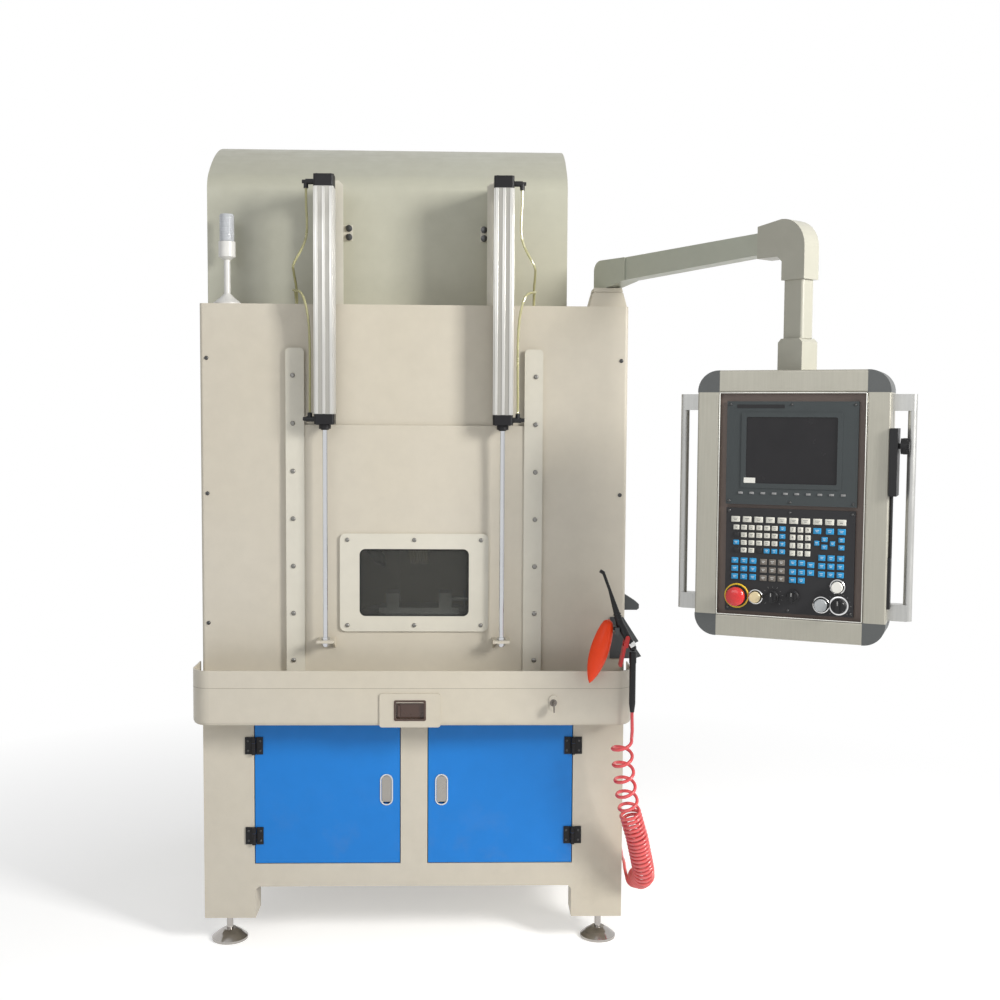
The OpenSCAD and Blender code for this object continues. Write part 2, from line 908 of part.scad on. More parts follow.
fitting_d = 13;
fitting_l = 20;
fitting_knob_d = 9;
fitting_knob_l = 8;
socket_d = 11;
socket_l = 15;
top_tube_x = 19;
low_tube_x = 12;
fit_in = 12;

module speed_fitting(z, x, up) {
    rod_x(cyl_w / 2, cyl_w / 2 + fitting_l, 0, z, fitting_d);
    rod_x(cyl_w / 2 + fitting_l, cyl_w / 2 + fitting_l + fitting_knob_l, 0, z, fitting_knob_d);
    translate([cyl_w / 2 + x, 0, up ? z : z - socket_l])
        cylinder(d = socket_d, h = socket_l);
}

module speed_fittings() color(dark) {
    cylinders() {
        speed_fitting(cap_z + fit_in, top_tube_x, false);
        speed_fitting(cyl_z + fit_in, low_tube_x, true);
    }
}

// Tubes swept along a route

function spline(p, n) =
    [for (i = [0:len(p) - 2], k = [0:n - 1])
        let (
            a = p[max(i - 1, 0)], b = p[i], c = p[i + 1], d = p[min(i + 2, len(p) - 1)],
            t = k / n
        )
        0.5 * (2 * b + (c - a) * t + (2 * a - 5 * b + 4 * c - d) * pow(t, 2)
            + (3 * b - a - 3 * c + d) * pow(t, 3)),
    p[len(p) - 1]];

function unit(v) = v / norm(v);

function heading(p, i) = unit(p[min(i + 1, len(p) - 1)] - p[max(i - 1, 0)]);

function side_step(n, t) = unit(n - (n * t) * t);

// Carries one side direction along the route without twisting it
function sides_along(p, n, i = 0, out = []) =
    i == len(p) ? out
    : let (m = side_step(n, heading(p, i))) sides_along(p, m, i + 1, concat(out, [m]));

module swept_tube(p, d, sides, start) {
    n = sides_along(p, start);
    rings = [for (i = [0:len(p) - 1])
        let (t = heading(p, i), u = n[i], w = cross(t, u))
            for (k = [0:sides - 1])
                p[i] + d / 2 * (cos(360 * k / sides) * u + sin(360 * k / sides) * w)];
    last = len(p) - 1;
    polyhedron(
        points = rings,
        faces = concat(
            [[for (k = [0:sides - 1]) k]],
            [for (i = [0:last - 1], k = [0:sides - 1]) let (a = i * sides + k, b = i * sides + (k + 1) % sides)
                [a, b + sides, b]],
            [for (i = [0:last - 1], k = [0:sides - 1]) let (a = i * sides + k, b = i * sides + (k + 1) % sides)
                [a, a + sides, b + sides]],
            [[for (k = [sides - 1:-1:0]) last * sides + k]]
        )
    );
}

tube_d = 6;
tube_side = 15;
tube_bend = 30;

// Both tubes cross to the enclosure's top plate beside the raised door
module air_tubes() color("#9aa35a") {
    cylinders() {
        x1 = cyl_w / 2 + top_tube_x;
        x2 = cyl_w / 2 + low_tube_x;
        x3 = (door_w - cyl_span) / 2 + tube_side;
        z1 = cap_z + fit_in - socket_l - seat_gap;
        z2 = cyl_z + fit_in + socket_l + seat_gap;
        z3 = body_top + 2 * seat_gap;
        swept_tube(spline([
            [x1, 0, z1], [x1, 0, z1 - tube_bend], [x1, 0, z3 + 5 * tube_bend],
            [x3 - tube_side / 3, 0, z3 + 3 * tube_bend], [x3, cyl_out * 0.7, z3 + 2.5 * tube_bend],
            [x3, cyl_out + tube_bend, z3 + 1.5 * tube_bend],
            [x3, cyl_out + 1.5 * tube_bend, z3 + tube_bend / 2], [x3, cyl_out + 1.5 * tube_bend, z3]
        ], 4), tube_d, 8, [1, 0, 0]);
        swept_tube(spline([
            [x2, 0, z2], [x2, 0, z2 + tube_bend], [x2, -tube_side / 2, z3 - 2 * tube_bend],
            [x2 + tube_side, -tube_side / 2, z3 + tube_bend / 2],
            [x3, cyl_out * 0.7, z3 + tube_bend], [x3, cyl_out + tube_bend / 3, z3 + tube_bend],
            [x3, cyl_out + tube_bend * 0.8, z3 + tube_bend / 2],
            [x3, cyl_out + tube_bend * 0.8, z3]
        ], 4), tube_d, 8, [1, 0, 0]);
    }
}

// Signal lamp

lamp_x = -452;
lamp_y = 48;
lamp_d = 35;
lamp_h = 66;
lamp_wall = 2;
lamp_collar_d = 40;
lamp_collar_h = 36;
lamp_foot_d = 66;
lamp_foot_h = 27;
lamp_stem_d = 15;
lamp_stem_h = 87;

module lamp_stand() color(silver) {
    translate([lamp_x, lamp_y, body_top])
        rotate_extrude()
            polygon([
                [0, 0], [lamp_foot_d / 2, 0], [lamp_foot_d / 2, lamp_foot_h / 6],
                [lamp_foot_d / 4, lamp_foot_h * 2 / 3], [lamp_stem_d / 2, lamp_foot_h],
                [lamp_stem_d / 2, lamp_foot_h + lamp_stem_h - lamp_stem_d / 2],
                [lamp_collar_d / 2, lamp_foot_h + lamp_stem_h],
                [lamp_collar_d / 2, lamp_foot_h + lamp_stem_h + lamp_collar_h],
                [0, lamp_foot_h + lamp_stem_h + lamp_collar_h]
            ]);
}

module lamp_lens() color("#8fa3a8", 0.6) {
    translate([lamp_x, lamp_y, body_top + lamp_foot_h + lamp_stem_h + lamp_collar_h])
        rotate_extrude()
            polygon([
                [lamp_d / 2 - lamp_wall, 0], [lamp_d / 2, 0], [lamp_d / 2, lamp_h - 2 * lamp_wall],
                [lamp_d / 2 - lamp_wall, lamp_h], [0, lamp_h], [0, lamp_h - lamp_wall],
                [lamp_d / 2 - lamp_wall, lamp_h - lamp_wall]
            ]);
}

// Swivel arm

pedestal_x = 463;
pedestal_y = 60;
pedestal_top_share = 0.74;
seam_h = 2;
swivel_pin_l = 40;
root_back = 21;
root_front = 84;
root_h = 67;
root_w = 46;
root_r = 24;
root_cut = 64;
arm_mid = 60;
arm_dip = 19;
arm_end_dip = 2;
elbow_back = 92;
elbow_half = 31;
elbow_in = 27;
elbow_w = 48;
elbow_low = 84;
elbow_up = 43;
elbow_r = 60;
drop_along = 50;
drop_r = 6;
coupling_h = 66;
coupling_along = 62;
coupling_across = 51;
coupling_cut = 8;
arm_axis_z = body_top + pedestal_h + seat_gap + arm_mid;
drop_top = arm_axis_z - elbow_low;
coupling_top = drop_top - drop_l;
panel_top = coupling_top - coupling_h - seat_gap;
panel_mid = panel_top - panel_h / 2;

module at_arm() {
    translate([pedestal_x, pedestal_y, 0])
        rotate(-arm_yaw)
            children();
}

module at_panel() {
    at_arm()
        translate([arm_l, 0, 0])
            rotate(arm_yaw - panel_yaw)
                children();
}

module taper(w0, w1, h) {
    intersection() {
        along_x(-w0 / 2, w0)
            polygon([[-w0 / 2, 0], [w0 / 2, 0], [w1 / 2, h], [-w1 / 2, h]]);
        along_y(-w0 / 2, w0)
            polygon([[-w0 / 2, 0], [w0 / 2, 0], [w1 / 2, h], [-w1 / 2, h]]);
    }
}

module arm_pedestal() color(cream) {
    translate([pedestal_x, pedestal_y, body_top]) {
        difference() {
            taper(pedestal_w, pedestal_w * pedestal_top_share, pedestal_h);
            translate([0, 0, pedestal_h * 3 / 4])
                difference() {
                    block(-pedestal_w, pedestal_w, -pedestal_w, pedestal_w, 0, seam_h);
                    taper(pedestal_w * pedestal_top_share, pedestal_w * pedestal_top_share, 2 * seam_h);
                }
        }
        translate([0, 0, pedestal_h - overrun])
            cylinder(d = swivel_d, h = swivel_pin_l + overrun);
    }
}

module arm_swivel() color("#a9a898") {
    at_arm()
        translate([0, 0, body_top + pedestal_h + seat_gap])
            difference() {
                along_y(-root_w / 2, root_w)
                    polygon(concat(
                        [[-root_back, 0]],
                        arc([root_r - root_back, root_h - root_r], root_r, 180, 90, 8),
                        [[root_front, arm_mid - arm_dip + arm_h / 2],
                        [root_front, arm_mid - arm_dip - arm_h / 2],
                        [root_front - root_cut, 0]]
                    ));
                translate([0, 0, -overrun])
                    cylinder(d = swivel_d + 2 * fit_gap, h = swivel_pin_l + 2 * overrun);
            }
}

module arm_tube() color("#a3a497") {
    at_arm()
        translate([0, 0, arm_axis_z])
            along_y(-arm_w / 2, arm_w)
                polygon([
                    [root_front, -arm_dip - arm_h / 2], [arm_l - elbow_back, -arm_end_dip - arm_end_h / 2],
                    [arm_l - elbow_back, arm_end_h / 2 - arm_end_dip], [root_front, arm_h / 2 - arm_dip]
                ]);
}

module arm_elbow() color(cream) {
    at_arm()
        translate([arm_l, 0, arm_axis_z])
            along_y(-elbow_w / 2, elbow_w)
                polygon(concat(
                    [[-elbow_in, -elbow_low], [elbow_half, -elbow_low]],
                    arc([elbow_half - elbow_r, elbow_up - elbow_r], elbow_r, 0, 90, 8),
                    [[-elbow_back, arm_end_h / 2 + elbow_up / 4],
                    [-elbow_back, -arm_end_h / 2 - elbow_up / 4],
                    [-elbow_in - elbow_up / 4, -arm_end_h / 2 - elbow_up / 4],
                    [-elbow_in, -arm_end_h / 2 - elbow_up / 2]]
                ));
}

module drop_tube() color("#bdbcb0") {
    at_arm()
        translate([arm_l, 0, 0]) {
            translate([0, 0, coupling_top])
                linear_extrude(drop_l)
                    rounded_plate(drop_along, arm_w, drop_r);
            translate([0, 0, coupling_top - coupling_h])
                along_y(-coupling_across / 2, coupling_across)
                    polygon([
                        [-coupling_along / 2, 0], [coupling_along / 2, 0],
                        [coupling_along / 2, coupling_h - coupling_cut],
                        [coupling_along / 2 - coupling_cut, coupling_h],
                        [coupling_cut - coupling_along / 2, coupling_h],
                        [-coupling_along / 2, coupling_h - coupling_cut]
                    ]);
            translate([0, 0, panel_top - profile_w - seat_gap - seam_h])
                cylinder(d = swivel_d, h = profile_w + 2 * seat_gap + seam_h + overrun);
            translate([0, 0, panel_top - profile_w - seat_gap - 3 * seam_h])
                cylinder(d = swivel_d + 4 * seam_h, h = 3 * seam_h);
        }
}

// Operator panel, drawn about its swivel axis and mid height

panel_front = -55;
profile_wall = 4;
panel_r = 44;
recess = 12;
plate_thick = 3;
bezel_t = 8;
unit_deep = 50;
unit_in = 14;
display_z = 108;
keyboard_z = -116;
screen_w = 186;
screen_h = 138;
screen_z = 6;
screen_in = 3;
inner_w = panel_w - 2 * profile_w;
inner_h = panel_h - 2 * profile_w;
panel_face = panel_front + recess;

module panel_place() {
    at_panel()
        translate([0, 0, panel_mid])
            children();
}

module profile_section() {
    difference() {
        rounded_plate(profile_w, panel_d, profile_wall);
        rounded_plate(profile_w - 2 * profile_wall, panel_d - 2 * profile_wall, profile_wall / 2);
    }
}

module panel_frame() color("#b6b3a6") {
    mid_y = panel_front + panel_d / 2;
    panel_place()
        difference() {
            union() {
                for (s = [-1, 1])
                    translate([s * (panel_w - profile_w) / 2, mid_y, -inner_h / 2])
                        linear_extrude(inner_h)
                            profile_section();
                for (s = [-1, 1])
                    translate([-inner_w / 2, mid_y, s * (panel_h - profile_w) / 2])
                        rotate([0, 90, 0])
                            linear_extrude(inner_w)
                                profile_section();
            }
            translate([0, 0, inner_h / 2 - overrun])
                cylinder(d = swivel_d + 2 * fit_gap, h = profile_w + 2 * overrun);
        }
}

module panel_corners() color(slate) {
    panel_place()
        for (sx = [-1, 1], sz = [-1, 1])
            translate([sx * (panel_w - profile_w) / 2, 0, sz * (panel_h - profile_w) / 2])
                along_y(panel_front, panel_d)
                    scale([sx, sz])
                        intersection() {
                            square(profile_w, center = true);
                            translate([-profile_w, -profile_w])
                                rounded_plate(3 * profile_w, 3 * profile_w, panel_r);
                        }
}

module panel_housing() color(taupe) {
    panel_place() {
        difference() {
            block(-inner_w / 2, inner_w / 2, panel_face, panel_face + plate_thick, -inner_h / 2, inner_h / 2);
            block(unit_in - display_w / 2, display_w / 2 - unit_in, panel_face - overrun,
                panel_face + plate_thick + overrun, display_z - display_h / 2 + unit_in,
                display_z + display_h / 2 - unit_in);
            block(unit_in - keyboard_w / 2, keyboard_w / 2 - unit_in, panel_face - overrun,
                panel_face + plate_thick + overrun, keyboard_z - keyboard_h / 2 + unit_in,
                keyboard_z + keyboard_h / 2 - unit_in);
        }
        back = panel_front + panel_d - plate_thick;
        block(-inner_w / 2, inner_w / 2, back - plate_thick, back, -inner_h / 2, inner_h / 2);
    }
}

module display_unit() {
    panel_place() {
        color(slate)
            difference() {
                union() {
                    block(-display_w / 2, display_w / 2, panel_face - bezel_t, panel_face,
                        display_z - display_h / 2, display_z + display_h / 2);
                    block(unit_in + seat_gap - display_w / 2, display_w / 2 - unit_in - seat_gap,
                        panel_face - overrun, panel_face + unit_deep,
                        display_z - display_h / 2 + unit_in + seat_gap,
                        display_z + display_h / 2 - unit_in - seat_gap);
                }
                translate([0, 0, display_z + screen_z])
                    along_y(panel_face - bezel_t - overrun, screen_in + overrun)
                        rounded_plate(screen_w, screen_h, screen_in);
            }
        color("#14181c")
            translate([0, 0, display_z + screen_z])
                along_y(panel_face - bezel_t + screen_in / 2, screen_in / 2)
                    rounded_plate(screen_w - seat_gap, screen_h - seat_gap, screen_in);
    }
}

// Places of the controls on the keyboard unit: across, up
stop_at = [-107, -193];
start_at = [-67, -193];
feed_at = [-32, -191];
mode_at = [10, -188];
reset_at = [100, -163];
lamp_at = [68, -202];
speed_at = [103, -202];
stop_stem = 16;
button_d = 25;
button_stem = 14;
button_out = 7;
lamp_button_d = 28;
knob_d = 26;
knob_out = 16;
speed_knob_d = 32;
collar_t = 3;
collar_over = 6;
press_l = 5;
stem_l = 24;

module control_holes() {
    for (p = [stop_at])
        control_hole(p, stop_stem);
    for (p = [start_at, feed_at, mode_at, reset_at, lamp_at, speed_at])
        control_hole(p, button_stem);
}

module control_hole(p, d) {
    rod_y(p[0], panel_face - bezel_t - collar_t - overrun, panel_face + unit_deep - collar_t, p[1],
        d + 2 * fit_gap);
}

module control_collar(p, d) {
    rod_y(p[0], panel_face - bezel_t - collar_t, panel_face - bezel_t + overrun, p[1], d + collar_over);
}

module keyboard_unit() {
    panel_place()
        color(dark)
            difference() {
                union() {
                    block(-keyboard_w / 2, keyboard_w / 2, panel_face - bezel_t, panel_face,
                        keyboard_z - keyboard_h / 2, keyboard_z + keyboard_h / 2);
                    block(unit_in + seat_gap - keyboard_w / 2, keyboard_w / 2 - unit_in - seat_gap,
                        panel_face - overrun, panel_face + unit_deep,
                        keyboard_z - keyboard_h / 2 + unit_in + seat_gap,
                        keyboard_z + keyboard_h / 2 - unit_in - seat_gap);
                    control_collar(stop_at, stop_d);
                    for (p = [start_at, reset_at])
                        control_collar(p, button_d);
                    for (p = [feed_at, mode_at])
                        control_collar(p, knob_d - collar_over);
                    control_collar(lamp_at, lamp_button_d);
                    control_collar(speed_at, speed_knob_d - collar_over);
                }
                control_holes();
            }
}

// Keys: each row of the list is width, height, and the places across and up
key_rise = 2;
key_unit = keyboard_w / 264;
key_rows = [
    [18, 12, [for (i = [0:9]) -111.9 + 24.1 * i], [-31]],
    [12, 10, [for (i = [0:6]) -110 + 16 * i], [-48, -64, -80, -96]],
    [11, 11, [7, 22.5, 38], [-49, -65, -82, -98]],
    [16, 12, [56.5, 82, 105.5], [-50]],
    [12, 10, [71.5, 105.5], [-67, -82.5]],
    [10, 10, [56, 87.5], [-75]],
    [14, 12, [-112, -93, -74], [-118, -135, -152]],
    [14, 12, [-52, -33.5, -15], [-119, -136, -153]],
    [14, 12, [8.5, 26.5], [-118, -137, -154]],
    [14, 12, [45], [-121, -137]],
    [14, 12, [67, 85.5, 104.5], [-105, -122, -139]]
];
soft_key = [9, 6];
soft_key_x = [for (i = [0:9]) -103 + 23.3 * i];
soft_key_z = 24.5;

module key_group(w, h, xs, zs) {
    for (x = xs, z = zs)
        block((x - w / 2) * key_unit, (x + w / 2) * key_unit, panel_face - bezel_t - key_rise,
            panel_face - bezel_t, (z - h / 2) * key_unit, (z + h / 2) * key_unit);
}

module keypad_keys() color("#d9dbd6") {
    panel_place() {
        for (g = key_rows)
            key_group(g[0], g[1], g[2], g[3]);
        key_group(soft_key[0], soft_key[1], soft_key_x, [soft_key_z]);
    }
}

// A round control turned about Z here, pointing out of the panel at -Y
module control(p, profile, d) {
    front = panel_face - bezel_t - collar_t;
    panel_place()
        translate([p[0], front, p[1]])
            rotate([90, 0, 0]) {
                rotate_extrude()
                    polygon(profile);
                translate([0, 0, -stem_l])
                    cylinder(d = d, h = stem_l + press_l + overrun);
            }
}

function button_profile(d, out) = [
    [0, press_l], [d / 2 - overrun, press_l], [d / 2 - overrun, press_l + out - overrun],
    [d / 2 - 2 * overrun, press_l + out], [0, press_l + out]
];

module stop_button() color("#c81e1e") {
    r = stop_d / 2;
    control(stop_at, concat(
        [[0, press_l + overrun], [r * 0.6, press_l + overrun], [r, press_l + r * 0.3]],
        [for (a = [0:15:90]) [r * cos(a), press_l + r * (0.6 + 0.35 * sin(a))]]
    ), stop_stem);
}

module start_button() color("#e3d9c0") {
    control(start_at, button_profile(button_d, button_out), button_stem);
}

module reset_button() color("#e8e6e2") {
    control(reset_at, button_profile(button_d, button_out), button_stem);
}

module lamp_button() color("#9aa3a6") {
    control(lamp_at, button_profile(lamp_button_d, button_out), button_stem);
}

function knob_profile(d) = [
    [0, seat_gap], [d / 2, seat_gap], [d / 2, knob_out / 4], [d / 2 - 2 * overrun, knob_out / 3],
    [d / 2 - 3 * overrun, knob_out], [0, knob_out]
];

module selector_grip(p, d) {
    panel_place()
        translate([p[0], panel_face - bezel_t - collar_t - knob_out, p[1]])
            block(-d / 8, d / 8, -knob_out / 3, overrun, -d * 0.4, d * 0.4);
}

module mode_selector() color(dark) {
    control(mode_at, knob_profile(knob_d), button_stem);
    selector_grip(mode_at, knob_d);
}

module feed_knob() color(dark) {
    control(feed_at, knob_profile(knob_d), button_stem);
    selector_grip(feed_at, knob_d);
}

module speed_knob() color(dark) {
    control(speed_at, knob_profile(speed_knob_d), button_stem);
    selector_grip(speed_at, speed_knob_d);
}

handle_out = 38;
handle_d = 18;
handle_l = 462;
handle_bracket_h = 34;
handle_bracket_d = 24;
handle_y = -8;

module grab_handles() color(silver) {
    panel_place()
        for (s = [-1, 1])
            scale([s, 1, 1]) {
                translate([panel_w / 2 + handle_out, handle_y, -handle_l / 2])
                    cylinder(d = handle_d, h = handle_l);
                for (z = [-1, 1])
                    block(panel_w / 2, panel_w / 2 + handle_out, handle_y - handle_bracket_d / 2,
                        handle_y + handle_bracket_d / 2,
                        z * (handle_l - handle_bracket_h) / 2 - handle_bracket_h / 2,
                        z * (handle_l - handle_bracket_h) / 2 + handle_bracket_h / 2);
            }
}

mpg_w = 15;
mpg_d = 60;
mpg_h = 136;
mpg_z = 94;
mpg_bore = 12;
mpg_knob_z = 126;
mpg_knob_d = 32;
mpg_knob_t = 12;
mpg_neck = 4;
mpg_y = -35;
lead_d = 7;
clip_h = 104;
clip_z = -152;
clip_w = 6;
clip_d = 24;

module handwheel_box() color(dark) {
    panel_place() {
        difference() {
            block(panel_w / 2, panel_w / 2 + mpg_w, mpg_y - mpg_d / 2, mpg_y + mpg_d / 2,
                mpg_z - mpg_h / 2, mpg_z + mpg_h / 2);
            rod_x(panel_w / 2 + seam_h, panel_w / 2 + mpg_w + overrun, mpg_y, mpg_knob_z,
                mpg_bore + 2 * fit_gap);
        }
        block(panel_w / 2, panel_w / 2 + clip_w, mpg_y - clip_d / 2, mpg_y + clip_d / 2,
            clip_z - clip_h / 2, clip_z + clip_h / 2);
        translate([panel_w / 2 + lead_d / 2, mpg_y, clip_z + clip_h / 2])
            cylinder(d = lead_d, h = mpg_z - mpg_h / 2 - clip_z - clip_h / 2);
    }
}

module handwheel_knob() color(dark) {
    x0 = panel_w / 2 + mpg_w;
    panel_place() {
        rod_x(x0 - mpg_w / 2, x0 + mpg_neck + overrun, mpg_y, mpg_knob_z, mpg_bore);
        rod_x(x0 + mpg_neck, x0 + mpg_neck + mpg_knob_t, mpg_y, mpg_knob_z, mpg_knob_d);
        rod_x(x0 + mpg_neck + mpg_knob_t, x0 + mpg_neck + mpg_knob_t + mpg_neck, mpg_y - mpg_knob_d / 3,
            mpg_knob_z, mpg_bore / 2);
    }
}

// Air gun, drawn in an upright plane from the tray's right end: across, up

grip_d = 46;
gun_y = -tray_out - grip_d / 2 - seat_gap;
gun_tip = [-74, 240];
gun_bend = [-67, 236];
gun_mid = [-52, 196];
gun_neck = [-40, 158];
gun_heel = [-27, 116];
gun_valve = [4, 60];
gun_pivot = [-10, 85];
grip_top = [-52, 128];
grip_low = [-97, -24];
bridge_at = [-20, 103];
bridge_end = [-52, 107];
lever_end = [-24, 17];
nozzle_d = 7;
gun_body_d = 21;
valve_d = 16;
bridge_d = 8;
trigger_w = 10;
trigger_t = 3;
lever_from = 22;
trigger_pin_d = 5;
sleeve_d = 15;
sleeve_l = 136;
sleeve_taper = 20;
connector_d = 17;
connector_l = 16;

module at_gun() {
    translate([half_w, gun_y, base_top + tray_h])
        children();
}

// A round bar in the gun's plane
module gun_bar(a, b, d0, d1) {
    translate([a[0], 0, a[1]])
        rotate([0, atan2(b[0] - a[0], b[1] - a[1]), 0])
            cylinder(d1 = d0, d2 = d1, h = norm(b - a));
}

module gun_ball(p, d) {
    translate([p[0], 0, p[1]])
        sphere(d = d + overrun);
}

function grip_profile(l, d) = concat(
    [[0, 0]],
    [for (i = [1:11]) let (t = i / 12) [d / 2 * pow(sin(180 * pow(t, 0.9)), 0.6), l * t]],
    [[0, l]]
);

module air_gun() {
    at_gun() {
        color(dark)
            difference() {
                union() {
                    gun_bar(gun_tip, gun_bend, nozzle_d, nozzle_d);
                    gun_ball(gun_bend, nozzle_d);
                    gun_bar(gun_bend, gun_mid, nozzle_d, nozzle_d);
                    gun_ball(gun_mid, nozzle_d);
                    gun_bar(gun_mid, gun_neck, nozzle_d, gun_body_d * 0.6);
                    gun_ball(gun_neck, gun_body_d * 0.6);
                    gun_bar(gun_neck, gun_heel, gun_body_d * 0.6, gun_body_d * 0.9);
                    gun_ball(gun_heel, gun_body_d);
                    gun_bar(gun_heel, gun_valve, gun_body_d * 0.9, valve_d);
                    gun_ball(gun_valve, valve_d);
                    gun_bar(bridge_at, bridge_end, bridge_d, bridge_d);
                    rod_y(gun_pivot[0], -gun_body_d / 2, gun_body_d / 2, gun_pivot[1], trigger_w);
                }
                rod_y(gun_pivot[0], -gun_body_d, gun_body_d, gun_pivot[1], trigger_pin_d + 2 * fit_gap);
            }
        color("#e0481c")
            translate([grip_low[0], 0, grip_low[1]])
                rotate([0, atan2(grip_top[0] - grip_low[0], grip_top[1] - grip_low[1]), 0])
                    rotate_extrude()
                        polygon(grip_profile(norm(grip_top - grip_low), grip_d));
    }
}

module gun_trigger() color("#b5232a") {
    y0 = gun_body_d / 2 + seat_gap;
    at_gun() {
        translate([gun_pivot[0], 0, gun_pivot[1]])
            rotate([0, atan2(lever_end[0] - gun_pivot[0], lever_end[1] - gun_pivot[1]), 0]) {
                for (s = [-1, 1]) {
                    y1 = s > 0 ? y0 : -y0 - trigger_t;
                    rod_y(0, y1, y1 + trigger_t, 0, trigger_w);
                    block(-trigger_w / 2, trigger_w / 2, y1, y1 + trigger_t, 0, lever_from + overrun);
                }
                block(-trigger_t / 2, trigger_w / 2, -y0 - trigger_t, y0 + trigger_t, lever_from,
                    norm(lever_end - gun_pivot));
            }
        rod_y(gun_pivot[0], -y0 - trigger_t, y0 + trigger_t, gun_pivot[1], trigger_pin_d);
    }
}

// Holder outline: across from the enclosure's right side, up from the tray
holder_points = [
    [-36, 113], [-4, 113], [34, 54], [21, 47], [41, 17], [26, 12], [-36, 12]
];
holder_t = 4;
hook_x0 = -40;
hook_x1 = -30;
hook_t = 6;
hook_lip = 10;
peg_points = [[0, 127], [0, 167], [28, 149], [37, 141], [37, 131], [32, 127]];
peg_w = 20;
peg_y = 30;

module gun_holder() color(dark) {
    top = bridge_at[1] - bridge_d / 2 + overrun - seat_gap;
    y1 = gun_y - gun_body_d / 2 - hook_t;
    translate([half_w, 0, base_top + tray_h]) {
        along_y(-holder_t, holder_t)
            polygon(holder_points);
        block(hook_x0, hook_x1, y1, 0, top - hook_t, top);
        block(hook_x0, hook_x1, y1, y1 + hook_t / 2, top - hook_t, top + hook_lip);
        along_y(peg_y - peg_w / 2, peg_w)
            polygon(peg_points);
    }
}

port_back = 370;
port_down = 360;
port_out = 20;
port_d = 18;
port_l = 26;

module hose_fittings() color(dark) {
    port_y = port_back - tray_out;
    port_z = base_top - port_down;
    low = gun_valve[1] - connector_l - sleeve_l;
    at_gun()
        translate([gun_valve[0], 0, low])
            rotate_extrude()
                polygon([
                    [0, 0], [hose_d / 2 + overrun, 0], [sleeve_d / 2, sleeve_taper],
                    [sleeve_d / 2, sleeve_l - sleeve_taper], [connector_d / 2, sleeve_l - sleeve_taper],
                    [connector_d / 2, sleeve_l + connector_l - valve_d / 2 - overrun],
                    [0, sleeve_l + connector_l - valve_d / 2 - overrun]
                ]);
    rod_x(half_w, half_w + port_out, port_y, port_z, port_d);
    rod_y(half_w + port_out, port_y - port_l, port_y, port_z, port_d - overrun);
    translate([half_w + port_out, port_y, port_z])
        sphere(d = port_d + overrun);
}

// The hose's route from the tray's right end: after each number of turns, the middle of the coil
coil_rows = [
    [0, -19, -22, -28], [1, -17, -21, -66], [2, -13, -18, -105], [3, -8, -13, -142],
    [4, -2, -7, -177], [5, 5, -1, -208], [11, 25, 16, -273], [17, 39, 36, -332],
    [20, 47, 54, -364], [22, 51, 74, -388], [24, 49, 101, -405], [26.5, 38, 132, -413]
];
hose_end = tray_h + gun_valve[1] - connector_l - sleeve_l - seat_gap;
hose_head = [[4, -23.3, hose_end], [4, -23.3, hose_end - hose_d], [5, -23, -4]];
hose_tail = [
    [14, 142, -398], [14, 158, -388], [15, 180, -388], [17, 220, -394], [19, 270, -388],
    [20, 315, -368], [20, 336, -360], [20, 343.7, -360]
];
curl_rings = 8;
turns = coil_rows[len(coil_rows) - 1][0];
loose_turns = 6;
loose_share = 0.8;

function coil_middle(t) = [for (k = [1:3]) lookup(t, [for (r = coil_rows) [r[0], r[k]]])];

// A loose loop lies nearly level and drops at its right side
function loop_drop(t) = min(max(loose_turns - t, 0), 1) * loose_share * sin(360 * t) / (2 * PI);

function coil_point(t) =
    let (
        w = unit(coil_middle(min(t + 1, turns)) - coil_middle(max(t - 1, 0))),
        u = side_step([1, 0, 0], w),
        v = cross(w, u),
        r = (coil_d - hose_d) / 2
    )
    coil_middle(t + loop_drop(t)) + r * (cos(360 * t) * u + sin(360 * t) * v);

hose_points = concat(
    hose_head,
    [for (i = [0:turns * curl_rings]) coil_point(i / curl_rings)],
    hose_tail
);

// The least gap between stretches of the hose that lie over half a curl apart
hose_gap = min([for (i = [0:len(hose_points) - 1], j = [i + curl_rings / 2 + 1:len(hose_points) - 1])
    norm(hose_points[i] - hose_points[j])]) - hose_d;
echo(hose_gap = hose_gap);

module coiled_hose() color("#c8283c") {
    translate([half_w, -tray_out, base_top])
        swept_tube(hose_points, hose_d, 6, [1, 0, 0]);
}

// Inside of the enclosure

bed_t = 12;
bed_z = base_top + drawer_h + drawer_slot + run_gap;
bed_top = bed_z + bed_t;
bed_in = 7;
rib_t = 8;
chute_w = 110;
chute_y0 = 30;
chute_l = 120;
table_base_d = 240;
table_foot_d = 300;
table_foot_h = 16;
table_t = 24;
table_shaft_d = 60;
table_shaft_l = 60;
table_top = bed_top + table_up;
table_slot_w = 12;
table_slot_d = 10;
table_pcd = 240;
table_hole_d = 9;
table_holes = 8;

